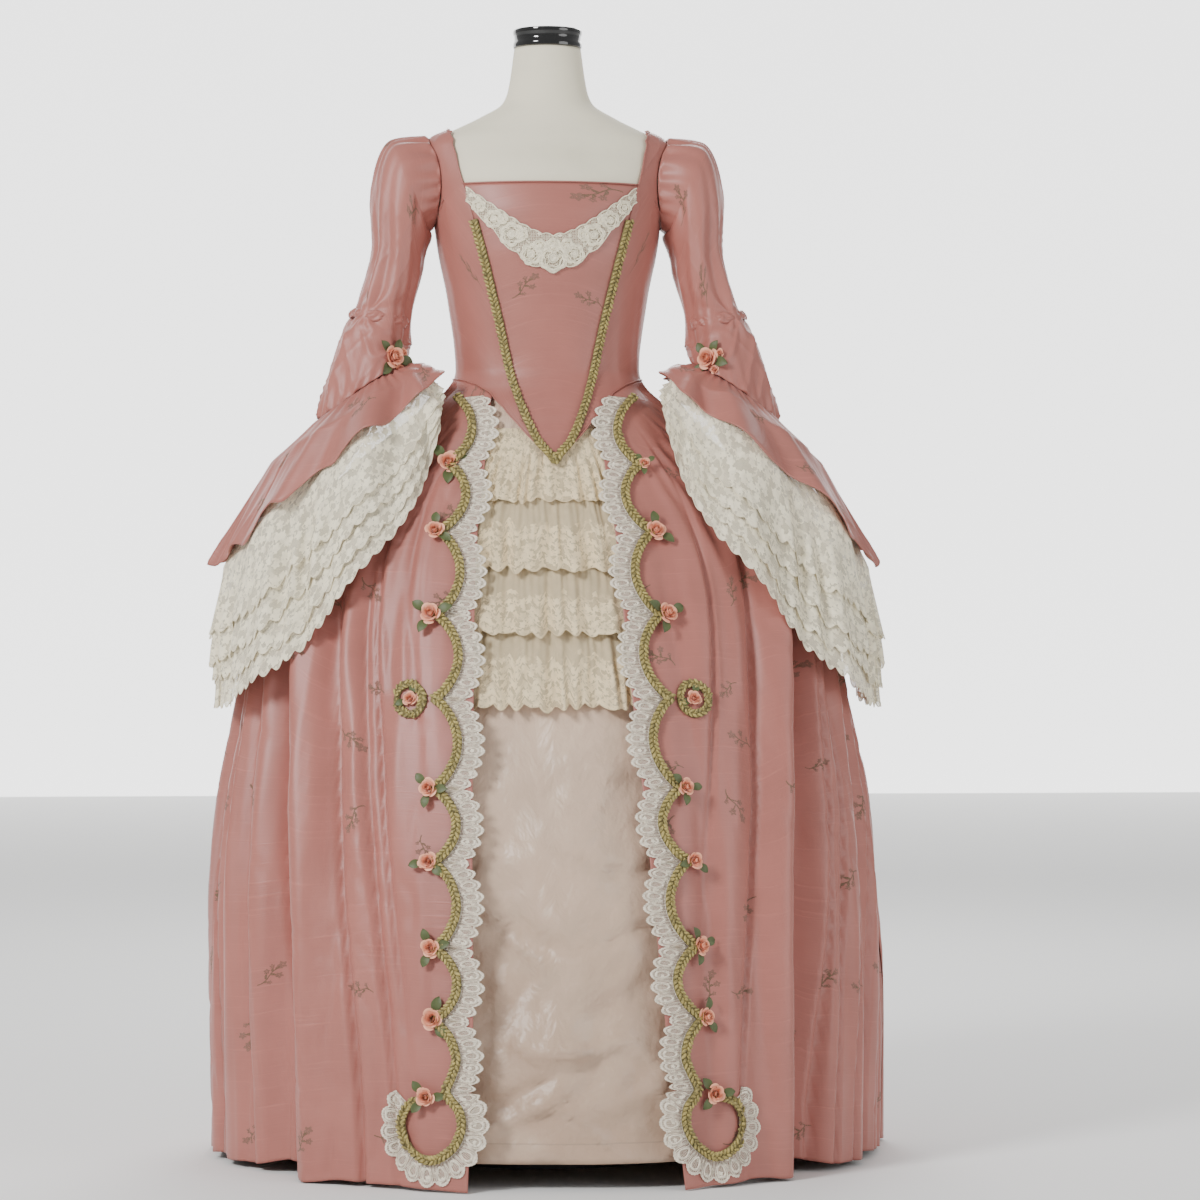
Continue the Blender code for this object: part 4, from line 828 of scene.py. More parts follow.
def sewn_mesh(name, places, up, along, sizes, small, finish, size=1.0):
    """One plain mesh of a small piece repeated at places, with the directions of its height and its length."""
    mesh = bpy.data.meshes.new(name + "_places")
    mesh.from_pydata((np.asarray(places) + CENTRE).tolist(), [], [])
    for word, kind, values in (("up", "FLOAT_VECTOR", up), ("along", "FLOAT_VECTOR", along),
                               ("size", "FLOAT", sizes)):
        layer = mesh.attributes.new(word, kind, "POINT")
        layer.data.foreach_set("vector" if kind == "FLOAT_VECTOR" else "value",
                               np.ascontiguousarray(values, dtype=np.float32).reshape(-1))
    holder = bpy.data.objects.new(name + "_places", mesh)
    link(holder)
    link(small)
    tree = sewn_repeat_tree()
    modifier = holder.modifiers.new("sewn", "NODES")
    modifier.node_group = tree
    for item in tree.interface.items_tree:
        value = {"Small piece": small, "Finish": finish, "Size": size}.get(item.name)
        if value is not None and item.in_out == "INPUT":
            modifier[item.identifier] = value
    made = bpy.data.meshes.new_from_object(holder.evaluated_get(bpy.context.evaluated_depsgraph_get()))
    for word in ("up", "along", "size"):
        if word in made.attributes:
            made.attributes.remove(made.attributes[word])
    made.name = name
    bpy.data.objects.remove(holder)
    bpy.context.scene.collection.objects.unlink(small)
    made.shade_smooth()
    return made


def joined(name, meshes):
    """Several meshes as one, each keeping its own material."""
    work = bmesh.new()
    finishes = []
    for mesh in meshes:
        before = len(work.faces)
        work.from_mesh(mesh)
        work.faces.ensure_lookup_table()
        for face in work.faces[before:]:
            finish = mesh.materials[face.material_index]
            if finish not in finishes:
                finishes.append(finish)
            face.material_index = finishes.index(finish)
    made = bpy.data.meshes.new(name)
    work.to_mesh(made)
    work.free()
    for finish in finishes:
        made.materials.append(finish)
    return made


class Nodes:
    """Adds nodes to a tree and links them."""

    def __init__(self, tree):
        self.tree = tree

    def add(self, kind, given=None, **settings):
        node = self.tree.nodes.new(kind)
        for word, value in settings.items():
            setattr(node, word, value)
        for word, value in (given or {}).items():
            self.give(node, word, value)
        return node

    def give(self, node, word, value):
        socket = node.inputs[word]
        if isinstance(value, bpy.types.NodeSocket):
            self.tree.links.new(value, socket)
        else:
            socket.default_value = value

    def math(self, operation, a, b=0.0, c=None):
        given = {0: a, 1: b}
        if c is not None:
            given[2] = c
        return self.add("ShaderNodeMath", given, operation=operation).outputs[0]

    def times(self, a, b):
        return self.math("MULTIPLY", a, b)

    def sum(self, a, b, c):
        """a times b, plus c."""
        return self.math("MULTIPLY_ADD", a, b, c)

    def less(self, a, b):
        return self.math("SUBTRACT", a, b)

    def under(self, a, b):
        """1 where a is under b, or else 0."""
        return self.math("LESS_THAN", a, b)

    def most(self, a, b):
        return self.math("MAXIMUM", a, b)

    def size(self, a):
        return self.math("ABSOLUTE", a)

    def sine(self, a):
        return self.math("SINE", a)

    def cloth(self):
        """The cloth's flat measures."""
        return self.add("ShaderNodeUVMap", uv_map="cloth").outputs[0]

    def place(self):
        """The place on the object."""
        return self.add("ShaderNodeTexCoord").outputs["Object"]

    def vector(self, operation, a, b=(0.0, 0.0, 0.0)):
        return self.add("ShaderNodeVectorMath", {0: a, 1: b}, operation=operation).outputs[0]

    def noise(self, vector, scale, detail=2.0, roughness=0.5):
        node = self.add("ShaderNodeTexNoise", {"Vector": vector, "Scale": scale, "Detail": detail,
                                               "Roughness": roughness})
        return node.outputs["Fac"]

    def stretch(self, vector, scale):
        return self.add("ShaderNodeMapping", {"Vector": vector, "Scale": scale}).outputs[0]

    def between(self, value, low, high, to_low=0.0, to_high=1.0):
        given = {"Value": value, "From Min": low, "From Max": high, "To Min": to_low, "To Max": to_high}
        return self.add("ShaderNodeMapRange", given, interpolation_type="SMOOTHSTEP").outputs[0]

    def mix(self, share, a, b):
        node = self.add("ShaderNodeMix", data_type="RGBA")
        self.give(node, 0, share)
        self.give(node, 6, a)
        self.give(node, 7, b)
        return node.outputs[2]

    def parts(self, vector):
        node = self.add("ShaderNodeSeparateXYZ", {0: vector})
        return node.outputs[0], node.outputs[1], node.outputs[2]


def shader_group(name, given, given_out):
    """An empty shader node group with named sockets, and its two ends."""
    tree = bpy.data.node_groups.new(name, "ShaderNodeTree")
    for word, kind, value in given:
        socket = tree.interface.new_socket(word, in_out="INPUT", socket_type=kind)
        if value is not None:
            socket.default_value = value
    for word, kind in given_out:
        tree.interface.new_socket(word, in_out="OUTPUT", socket_type=kind)
    work = Nodes(tree)
    return tree, work, work.add("NodeGroupInput"), work.add("NodeGroupOutput")


def weave_group():
    """Plain weave with thicker threads here and there, in the cloth's flat measures."""
    found = bpy.data.node_groups.get("plain_weave")
    if found:
        return found
    tree, work, given, out = shader_group(
        "plain_weave",
        (("Flat", "NodeSocketVector", None), ("Threads", "NodeSocketFloat", 1400.0),
         ("Slubs", "NodeSocketFloat", 1.0)),
        (("Height", "NodeSocketFloat"), ("Shade", "NodeSocketFloat")))
    flat, threads = given.outputs["Flat"], given.outputs["Threads"]
    x, y, _ = work.parts(flat)
    warp = work.sine(work.times(x, threads))
    weft = work.sine(work.times(y, threads))
    cross = work.times(warp, weft)
    slub = work.noise(work.stretch(flat, (26.0, 620.0, 1.0)), 1.0, 3.0, 0.62)
    thick = work.noise(work.stretch(flat, (9.0, 210.0, 1.0)), 1.0, 2.0, 0.5)
    slub = work.sum(work.between(thick, 0.56, 0.74), 0.6, slub)
    slub = work.times(slub, given.outputs["Slubs"])
    work.give(out, "Height", work.sum(cross, 0.10, slub))
    work.give(out, "Shade", work.less(slub, 0.5))
    return tree


def sprig_group():
    """Small embroidered sprigs, each a bent stem with leaves and a flower, thinly strewn over the cloth."""
    found = bpy.data.node_groups.get("strewn_sprigs")
    if found:
        return found
    tree, work, given, out = shader_group(
        "strewn_sprigs",
        (("Flat", "NodeSocketVector", None), ("Spacing", "NodeSocketFloat", 0.105),
         ("Size", "NodeSocketFloat", 0.0175)),
        (("Mask", "NodeSocketFloat"), ("Flower", "NodeSocketFloat"), ("Height", "NodeSocketFloat")))
    spacing = work.math("DIVIDE", 1.0, given.outputs["Spacing"])
    cells = work.add("ShaderNodeTexVoronoi", {"Vector": given.outputs["Flat"], "Scale": spacing,
                                              "Randomness": 0.78}, voronoi_dimensions="2D")
    local = work.vector("SUBTRACT", given.outputs["Flat"], cells.outputs["Position"])
    red, green, blue = work.add("ShaderNodeSeparateColor", {0: cells.outputs["Color"]}).outputs[:3]
    angle = work.times(red, 6.283)
    turned = work.add("ShaderNodeVectorRotate", {"Vector": local, "Angle": angle},
                      rotation_type="Z_AXIS").outputs[0]
    size = work.times(given.outputs["Size"], work.sum(green, 0.5, 0.75))
    grown = work.add("ShaderNodeVectorMath", {0: turned, "Scale": work.math("DIVIDE", 1.0, size)},
                     operation="SCALE").outputs[0]
    x, y, _ = work.parts(grown)
    bend = work.times(work.sine(work.times(x, 3.1)), 0.16)
    off_stem = work.size(work.less(y, bend))
    inside = work.under(work.size(x), 0.95)
    stem = work.times(work.under(off_stem, 0.042), inside)
    leaf, flower = 0.0, 0.0
    twigs = (((0.55, 0.14), 0.1, 0.50, 0.25), ((-0.25, -0.10), 0.95, 0.62, 0.17), ((0.10, 0.05), -0.85, 0.55, 0.20),
             ((-0.55, -0.15), -0.7, 0.40, 0.13), ((0.40, 0.12), 1.15, 0.42, 0.14))
    for foot, lean, reach, bloom in twigs:
        away = work.add("ShaderNodeVectorRotate", {"Vector": grown, "Center": (*foot, 0.0), "Angle": -lean},
                        rotation_type="Z_AXIS").outputs[0]
        along, aside, _ = work.parts(work.vector("SUBTRACT", away, (*foot, 0.0)))
        along_ok = work.under(work.size(work.less(along, reach / 2)), reach / 2)
        twig = work.times(work.under(work.size(aside), 0.034), along_ok)
        stem = work.most(stem, twig)
        blade = work.times(work.sine(work.times(along, math.pi / (reach * 0.62))), 0.085)
        blade = work.under(work.size(work.less(aside, 0.05)), blade)
        leaf = work.most(leaf, work.times(blade, along_ok))
        out_x = work.less(along, reach)
        radius = work.math("SQRT", work.sum(out_x, out_x, work.times(aside, aside)))
        petals = work.times(work.math("ARCTAN2", aside, out_x), 5.0)
        rim = work.sum(work.math("COSINE", petals), bloom * 0.25, bloom)
        body = work.times(work.under(radius, rim), work.math("GREATER_THAN", radius, 0.05))
        flower = work.most(flower, body)
    leaf = work.times(leaf, work.math("GREATER_THAN", blue, 0.2))
    threads = work.noise(work.stretch(given.outputs["Flat"], (2300.0, 2300.0, 1.0)), 1.0, 2.0, 0.7)
    kept = work.math("GREATER_THAN", threads, 0.44)
    mask = work.times(work.most(work.most(stem, leaf), flower), kept)
    strewn = work.math("GREATER_THAN", green, 0.28)
    mask = work.times(mask, strewn)
    work.give(out, "Mask", mask)
    work.give(out, "Flower", flower)
    work.give(out, "Height", work.times(mask, 0.8))
    return tree


def lace_group():
    """Net with worked flowers, in the lace's flat measures: how much of it is thread, and its relief."""
    found = bpy.data.node_groups.get("worked_net")
    if found:
        return found
    tree, work, given, out = shader_group(
        "worked_net",
        (("Flat", "NodeSocketVector", None), ("Mesh size", "NodeSocketFloat", 0.0016),
         ("Motif size", "NodeSocketFloat", 0.013), ("Motif share", "NodeSocketFloat", 0.8),
         ("Thread", "NodeSocketFloat", 0.16)),
        (("Thread cover", "NodeSocketFloat"), ("Height", "NodeSocketFloat"), ("Motif", "NodeSocketFloat")))
    flat = given.outputs["Flat"]
    net = work.add("ShaderNodeTexVoronoi",
                   {"Vector": flat, "Scale": work.math("DIVIDE", 1.0, given.outputs["Mesh size"]),
                    "Randomness": 0.35}, voronoi_dimensions="2D", feature="DISTANCE_TO_EDGE")
    net = work.under(net.outputs["Distance"], given.outputs["Thread"])
    cells = work.add("ShaderNodeTexVoronoi",
                     {"Vector": flat, "Scale": work.math("DIVIDE", 1.0, given.outputs["Motif size"]),
                      "Randomness": 0.7}, voronoi_dimensions="2D")
    local = work.vector("SUBTRACT", flat, cells.outputs["Position"])
    local = work.add("ShaderNodeVectorMath", {0: local, "Scale": work.math("DIVIDE", 1.0, given.outputs["Motif size"])},
                     operation="SCALE").outputs[0]
    x, y, _ = work.parts(local)
    radius = work.math("SQRT", work.sum(x, x, work.times(y, y)))
    shades = work.add("ShaderNodeSeparateColor", {0: cells.outputs["Color"]})
    turn = work.math("ADD", work.math("ARCTAN2", y, x), work.times(shades.outputs[0], 6.283))
    petal = work.sum(work.math("COSINE", work.times(turn, 5.0)), 0.09, 0.36)
    petal = work.times(petal, work.sum(shades.outputs[1], 0.35, 0.82))
    body = work.under(radius, petal)
    rim = work.under(work.size(work.less(radius, petal)), 0.045)
    heart = work.under(work.size(work.less(radius, 0.14)), 0.035)
    vines = work.noise(flat, work.math("DIVIDE", 0.62, given.outputs["Motif size"]), 3.0, 0.6)
    vine = work.under(work.size(work.less(vines, 0.5)), 0.035)
    shown = work.under(shades.outputs[2], given.outputs["Motif share"])
    body = work.times(body, shown)
    outline = work.times(work.most(rim, heart), shown)
    outline = work.most(outline, work.times(vine, given.outputs["Motif share"]))
    work.give(out, "Thread cover", work.most(net, work.most(body, outline)))
    height = work.sum(body, 0.45, work.times(outline, 0.55))
    work.give(out, "Height", work.sum(net, 0.12, height))
    work.give(out, "Motif", work.most(body, outline))
    return tree


def new_finish(name, roughness, **plain):
    """A material with one Principled shader, and the means to add to its nodes."""
    made = bpy.data.materials.new(name)
    made.use_nodes = True
    work = Nodes(made.node_tree)
    shader = made.node_tree.nodes["Principled BSDF"]
    shader.inputs["Roughness"].default_value = roughness
    for word, value in plain.items():
        shader.inputs[word.replace("_", " ")].default_value = value
    return made, work, shader


def bump(work, shader, height, distance, strength=1.0):
    """Relief from a height, on the shader's normal."""
    node = work.add("ShaderNodeBump", {"Height": height, "Distance": distance, "Strength": strength})
    work.give(shader, "Normal", node.outputs[0])


def colour(rgb):
    """A colour socket's value."""
    return (rgb[0], rgb[1], rgb[2], 1.0)


def shade(rgb, times):
    """A colour made lighter or darker."""
    return tuple(min(1.0, part * times) for part in rgb)


def silk_finish(name, rgb, sprigs=True, roughness=0.44):
    """Slubbed silk taffeta with strewn sprigs."""
    made, work, shader = new_finish(name, roughness, Sheen_Weight=0.08, Sheen_Roughness=0.40)
    flat = work.cloth()
    weave = work.add("ShaderNodeGroup", node_tree=weave_group())
    work.give(weave, "Flat", flat)
    work.give(weave, "Threads", 3600.0)
    broad = work.noise(flat, 9.0, 3.0, 0.55)
    base = work.mix(work.between(broad, 0.3, 0.7), colour(shade(rgb, 0.93)), colour(shade(rgb, 1.06)))
    base = work.mix(work.between(weave.outputs["Shade"], -0.25, 0.85), base, colour(shade(rgb, 1.13)))
    height = weave.outputs["Height"]
    if sprigs:
        strewn = work.add("ShaderNodeGroup", node_tree=sprig_group())
        work.give(strewn, "Flat", flat)
        thread = work.mix(strewn.outputs["Flower"], (0.115, 0.095, 0.050, 1), (0.20, 0.115, 0.080, 1))
        base = work.mix(work.times(strewn.outputs["Mask"], 0.90), base, thread)
        height = work.math("ADD", height, strewn.outputs["Height"])
        work.give(shader, "Roughness", work.sum(strewn.outputs["Mask"], 0.28, roughness))
    work.give(shader, "Base Color", base)
    bump(work, shader, height, 0.00022, 0.75)
    return made


def satin_finish(rgb):
    """Creased satin, pinker towards the hem and darker there with painted shade, with the hem's stitched line."""
    made, work, shader = new_finish("petticoat_satin", 0.34, Sheen_Weight=0.08)
    flat = work.cloth()
    place = work.place()
    _, _, z = work.parts(place)
    weave = work.add("ShaderNodeGroup", node_tree=weave_group())
    work.give(weave, "Flat", flat)
    work.give(weave, "Threads", 5200.0)
    work.give(weave, "Slubs", 0.3)
    broad = work.noise(flat, 7.0, 4.0, 0.6)
    # Painted shade: towards the hem the satin is drawn a fifth darker, as well as pinker.
    height = work.between(z, 0.10, 0.58)
    low = (rgb[0] * 0.97, rgb[1] * 0.91, rgb[2] * 0.87)
    base = work.mix(height, colour(shade(low, 0.80)), colour(shade(rgb, 1.06)))
    base = work.mix(work.between(broad, 0.35, 0.7), base, colour(shade(rgb, 0.90)))
    line = work.under(work.size(work.less(z, HEM_STITCH)), 0.0009)
    base = work.mix(work.times(line, 0.5), base, colour(shade(rgb, 0.6)))
    work.give(shader, "Base Color", base)
    crumple = work.noise(work.stretch(flat, (60.0, 46.0, 1.0)), 1.0, 4.0, 0.58)
    broader = work.noise(work.stretch(flat, (26.0, 19.0, 1.0)), 1.0, 3.0, 0.5)
    relief = work.sum(crumple, 8.0, weave.outputs["Height"])
    relief = work.sum(broader, 26.0, relief)
    relief = work.less(relief, work.times(line, 1.5))
    bump(work, shader, relief, 0.00028, 0.8)
    return made


def lace_finish(name, rgb, mesh_size, motif_size, share, thread, plain_above=None, net_cover=0.0):
    """Net lace with worked flowers. Above plain_above along its flat height, only the plain net is left."""
    made, work, shader = new_finish(name, 0.78, Sheen_Weight=0.05)
    flat = work.cloth()
    lace = work.add("ShaderNodeGroup", node_tree=lace_group())
    work.give(lace, "Flat", flat)
    work.give(lace, "Mesh size", mesh_size)
    work.give(lace, "Motif size", motif_size)
    work.give(lace, "Thread", thread)
    if plain_above is None:
        work.give(lace, "Motif share", share)
    else:
        _, y, _ = work.parts(flat)
        worked = work.between(y, plain_above - 0.012, plain_above + 0.010, share, 0.0)
        work.give(lace, "Motif share", worked)
    tone = work.noise(flat, 60.0, 2.0, 0.5)
    base = work.mix(lace.outputs["Motif"], colour(shade(rgb, 0.78)), colour(shade(rgb, 1.12)))
    base = work.mix(work.between(tone, 0.4, 0.75), base, colour(shade(rgb, 0.90)))
    work.give(shader, "Base Color", base)
    cover = work.most(lace.outputs["Thread cover"], net_cover)
    work.give(shader, "Alpha", cover)
    bump(work, shader, lace.outputs["Height"], 0.0005, 0.9)
    return made


def thread_finish(name, rgb, dark, roughness=0.62, fine=900.0):
    """Twisted thread of two tones, as in braid and lace cords."""
    made, work, shader = new_finish(name, roughness, Sheen_Weight=0.1)
    place = work.place()
    tone = work.noise(place, 210.0, 3.0, 0.7)
    fibre = work.noise(work.stretch(place, (fine, fine, fine * 0.4)), 1.0, 2.0, 0.6)
    base = work.mix(work.between(tone, 0.36, 0.62), colour(dark), colour(rgb))
    work.give(shader, "Base Color", base)
    bump(work, shader, fibre, 0.0004, 0.8)
    return made


def ribbon_finish(name, rgb, light):
    """Ribbon, with a painted highlight that pales it towards the upper rims of the rose's petals."""
    made, work, shader = new_finish(name, 0.52, Sheen_Weight=0.15)
    place = work.place()
    tone = work.noise(place, 130.0, 2.0, 0.6)
    edge = work.add("ShaderNodeAttribute", attribute_name="edge").outputs["Fac"]
    base = work.mix(work.between(tone, 0.3, 0.7), colour(rgb), colour(shade(rgb, 1.15)))
    # Painted highlight: the 'edge' attribute mixes the petals' upper rims towards the paler colour.
    base = work.mix(edge, base, colour(light))
    work.give(shader, "Base Color", base)
    bump(work, shader, work.noise(work.stretch(place, (800.0, 800.0, 800.0)), 1.0), 0.0002, 0.5)
    return made


def cover_finish(rgb):
    """The form's fine jersey cover, a little darker in soft patches here and there, with small dark specks."""
    made, work, shader = new_finish("form_cover", 0.74, Sheen_Weight=0.1)
    place = work.place()
    # Soft patches at random, up to a tenth darker than the cover's colour.
    darker_patches = work.noise(place, 9.0, 4.0, 0.6)
    knit = work.times(work.sine(work.times(work.parts(place)[0], 4200.0)),
                     work.sine(work.times(work.parts(place)[2], 3600.0)))
    base = work.mix(work.between(darker_patches, 0.42, 0.8), colour(rgb), colour(shade(rgb, 0.90)))
    specks = work.add("ShaderNodeTexVoronoi", {"Vector": place, "Scale": 38.0})
    speck = work.under(specks.outputs["Distance"], 0.022)
    base = work.mix(work.times(speck, 0.35), base, colour(shade(rgb, 0.35)))
    work.give(shader, "Base Color", base)
    bump(work, shader, knit, 0.00012, 0.6)
    return made


def gloss_finish():
    """Black lacquer with light wear on its rims."""
    made, work, shader = new_finish("cap_lacquer", 0.09, Coat_Weight=0.5, Coat_Roughness=0.04)
    place = work.place()
    scuffs = work.noise(work.stretch(place, (60.0, 60.0, 400.0)), 1.0, 4.0, 0.7)
    work.give(shader, "Roughness", work.between(scuffs, 0.55, 0.8, 0.09, 0.26))
    dust = work.between(work.noise(place, 120.0, 3.0, 0.6), 0.60, 0.80)
    work.give(shader, "Base Color", work.mix(dust, (0.006, 0.006, 0.006, 1), (0.018, 0.017, 0.016, 1)))
    bump(work, shader, scuffs, 0.0001, 0.3)
    return made


def steel_finish():
    """Dark painted steel of the stand."""
    made, work, shader = new_finish("stand_paint", 0.42)
    place = work.place()
    orange = work.noise(place, 420.0, 2.0, 0.5)
    wear = work.between(work.noise(place, 30.0, 4.0, 0.65), 0.6, 0.8)
    work.give(shader, "Base Color", work.mix(wear, (0.045, 0.045, 0.047, 1), (0.11, 0.11, 0.11, 1)))
    work.give(shader, "Roughness", work.sum(orange, 0.2, 0.3))
    bump(work, shader, orange, 0.0002, 0.4)
    return made


def side_of(word):
    """-1 for the left piece and 1 for the right one."""
    return -1 if word == "left" else 1


def make_form(settings):
    """The form's covered body and its turned cap."""
    cover = cover_finish(settings.cover_colour)
    columns = 96
    phi = np.linspace(-math.pi, math.pi, columns + 1)
    heights = np.concatenate([np.linspace(1.0405, 1.38, 40), np.linspace(1.386, 1.54, 46)])
    hips = np.array([oval(phi, np.full(columns + 1, z), HIPS, 0.0) for z in np.linspace(0.800, 1.040, 14)])
    body = [gown(phi, np.full(columns + 1, z)) - form_inset(z) * normals(gown, phi, np.full(columns + 1, z))
            for z in heights]
    rings = np.concatenate([hips, np.array(body)])
    low, high = rings[0].mean(0), rings[-1].mean(0)
    ends = [np.broadcast_to(low, rings[0].shape), np.broadcast_to(high, rings[0].shape)]
    rings = np.concatenate([ends[0][None], rings, ends[1][None]])
    piece = collect("form_body", cloth_mesh("form_body", [(rings, flat_measure(rings))]), cover)
    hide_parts("form_torso")
    middle = (CENTRE[0], CENTRE[1], NECK_TOP + 0.0003)
    cap = turned_piece("neck_cap", CAP_PROFILE, 72, middle, gloss_finish(), ["form_neck_cap"])


def make_stand():
    """The pole and the round base, hidden by the skirts."""
    paint = steel_finish()
    middle = (CENTRE[0], CENTRE[1], 0.0)
    base = ((0.0, 0.0), (0.19, 0.0), (0.19, 0.008), (0.188, 0.0105), (0.178, 0.013), (0.045, 0.020),
            (0.034, 0.024), (0.030, 0.030), (0.028, 0.055), (0.0, 0.055))
    turned_piece("round_base", base, 72, middle, paint, ["stand_base"])
    pole = ((0.0, 0.0553), (0.0138, 0.0553), (0.014, 0.056), (0.014, 0.799), (0.0138, 0.7997), (0.0, 0.7997))
    turned_piece("pole", pole, 32, middle, paint, ["stand_pole"])


def make_petticoat(settings):
    """The petticoat's crumpled satin tube, with its turned and stitched hem."""
    satin = satin_finish(settings.satin_colour)
    columns = 240
    phi = np.linspace(-math.pi, math.pi, columns + 1)[None, :]
    z = np.concatenate([np.linspace(PETTICOAT_HEM, 0.70, 84), np.linspace(0.71, PETTICOAT_TOP, 34)])[:, None]
    phi, z = phi + 0 * z, z + 0 * phi
    wrapped = np.where(np.abs(phi) > 2.6, 0.0, 1.0)
    crease = satin_creases(phi, z) * ease((2.9 - np.abs(phi)) / 0.4) * wrapped
    crease = crease * (1 + 0.9 * ease((0.62 - z) / 0.14) * ease((0.42 - np.abs(phi)) / 0.12))
    hem = -0.0012 * np.exp(-(((z - HEM_STITCH) / 0.003) ** 2))
    points = petticoat(phi, z, crease + hem)
    piece = cloth_piece("satin_petticoat", [(points, None)], settings.satin_thickness, satin,
                        ["petticoat"])


def flounce_points(row, columns=260, rows=26):
    """A gathered lace flounce's points, with fine gathers at its header and scallops at its edge."""
    top, bottom, waves, stand_off, wave_height = row
    top = top + (0.030 if row is FLOUNCES[0] else 0.0)
    share = np.linspace(0, 1, rows)[:, None]
    across = np.linspace(0, 1, columns)[None, :]
    z = bottom + (top - bottom) * share
    left, right = left_edge(z) - FLOUNCE_UNDERLAP, right_edge(z) + FLOUNCE_UNDERLAP
    degrees = left + (right - left) * across
    reach = np.radians(right - left) * GOWN[1](z)
    scallop = np.abs(np.sin(math.pi * across * reach[0] / LACE_PITCH))
    down = 1 - share
    z = z - 0.0052 * scallop * down**3
    turn = degrees / 46.0 * TURN * waves
    wave = wave_height * down * (np.sin(turn) + 0.45 * np.sin(turn * 1.63 + 1.0 + top * 9))
    behind_point = 0.15 + 0.85 * ease((0.975 - z) / 0.02)
    gathers = 0.0011 * np.sin(degrees * 4.3 + 2.5 * LACE_NOISE.at(degrees / 2.2, z * 20)) * (1 - down)
    gathers = gathers * behind_point
    pleat = 0.5 + 0.5 * np.cos(degrees * 1.55 + 4.0 * LACE_NOISE.at(degrees / 5.0 + top * 31, z * 4 + top * 17))
    gathers = gathers + 0.0082 * pleat * down**0.7 * behind_point - 0.0022 * down
    ruffle = 0.0018 * LACE_NOISE.at(degrees / 1.1 + top * 50, z * 60) * down
    z = z - 0.0042 * (pleat - 0.5) * down**2 + 0.003 * LACE_NOISE.at(degrees / 3.0 + top * 9, 0 * z) * down
    crimp = 0.0016 * np.sin(across * reach[0] / LACE_PITCH * TURN) * down**4
    lift = 0.0015 + stand_off * down**0.8 + wave + gathers + ruffle + crimp
    return petticoat(np.radians(degrees), z, lift)


def make_flounces(settings):
    """The four tiers of cream lace on the petticoat's front."""
    for number, row in enumerate(FLOUNCES, 1):
        deep = row[0] - row[1]
        plain = None if number == 1 else deep * (0.52 if number < 4 else 0.60)
        finish = lace_finish(f"flounce_lace_{number}", settings.cream_colour, 0.0013, 0.0115, 0.92, 0.15,
                             plain, 0.62)
        points = flounce_points(row)
        piece = cloth_piece(f"lace_flounce_{number}", [(points, None)], 0.0, finish,
                            [f"petticoat_flounce_{number}"])
        cord = collect(f"flounce_edge_{number}", cord_mesh(f"flounce_edge_{number}", [points[0]], 0.0006, 5),
                       CORD_FINISH["cream"])


CORD_FINISH = {}


def make_overskirt(settings):
    """The overskirt's fronts and backs, with a turned front edge and hem."""
    silk = silk_finish("gown_silk", settings.silk_colour)
    CORD_FINISH["silk"] = silk_finish("piping_silk", shade(settings.silk_colour, 0.94), sprigs=False)
    shares = np.concatenate([[0.0, 0.004], np.linspace(0.012, 0.86, 104), np.linspace(0.867, 1.0, 40)])[:, None]
    for word in ("left", "right"):
        side = side_of(word)
        order = slice(None, None, side)
        u = np.concatenate([[0.0, 0.003], np.linspace(0.009, 1 - SEAM_GAP / 2 / 0.17, 128)])[None, :]
        phi, z = front_grid(side, u, shares)
        piece = cloth_piece(f"overskirt_front_{word}_silk", [(overskirt(phi, z)[:, order], None)],
                            settings.silk_thickness, silk,
                            [f"overskirt_front_{word}"])
        start = np.radians(side_seam(WAIST * shares)) + SEAM_GAP / 0.12
        around = np.linspace(0, 1, 150)[None, :]
        phi = side * (start + (math.pi - SEAM_GAP / 0.20 - start) * around)
        z = skirt_height(phi, shares)
        piece = cloth_piece(f"overskirt_back_{word}_silk", [(overskirt(phi, z)[:, order], None)],
                            settings.silk_thickness, silk,
                            [f"overskirt_back_{word}"])


def bodice_grids(side, behind, creases):
    """A bodice panel's two grids of points, its body and its strap, with the creases that a worn bodice has."""
    low, high = POINT_LINE[0][0], POINT_LINE[-1][0]
    shares = [(row[0] - low) / (high - low) for row in POINT_LINE]
    body = [np.array(grid) for grid in (back_body(shares) if behind else front_body(shares))]
    first = BACK_FIRST if behind else 0
    above = [np.array(grid) for grid in strap(body[0].shape[1] - first, behind)]
    above = [np.concatenate([b[-1:, first:], a]) for a, b in zip(above, body)]
    grids = []
    for phi, z in (body, above):
        phi, z = finer(phi, 8), finer(z, 8)
        phi = -phi if side < 0 else phi
        lift = creases(phi, z)
        points = gown(phi, z) + lift[..., None] * normals(gown, phi, z)
        if (side < 0) != behind:
            points = points[:, ::-1]
        grids.append((points, None))
    return grids


def panel_creases(phi, z):
    """Shallow creases of the bodice's fronts and backs: lengthwise pulls and a few across the waist."""
    edge = ease((z - lower_edge(phi)) / 0.006)
    across = 0.0005 * BODICE_NOISE.at(phi * 3, z * 60) * ease((1.16 - z) / 0.08)
    along = 0.0006 * BODICE_NOISE.at(phi * 9 + z * 6, z * 7)
    under = 0.0007 * BODICE_NOISE.ridge(phi * 5 - z * 22, z * 12 + phi * 3) * ease((z - 1.22) / 0.05)
    return (across + along + under) * edge - 0.0004


def stomacher_creases(phi, z):
    """The stomacher's fine creases from side to side, stronger towards the point."""
    x = phi * 0.11
    strength = 0.35 + 0.9 * ease((1.20 - z) / 0.14)
    fine = BODICE_NOISE.at(x * 9 + 3, z * 92 + 1.4 * BODICE_NOISE.at(x * 14, z * 9))
    broad = BODICE_NOISE.at(x * 5 + 40, z * 38 + 70)
    return 0.00075 * strength * (fine + 0.7 * broad) - 0.0005


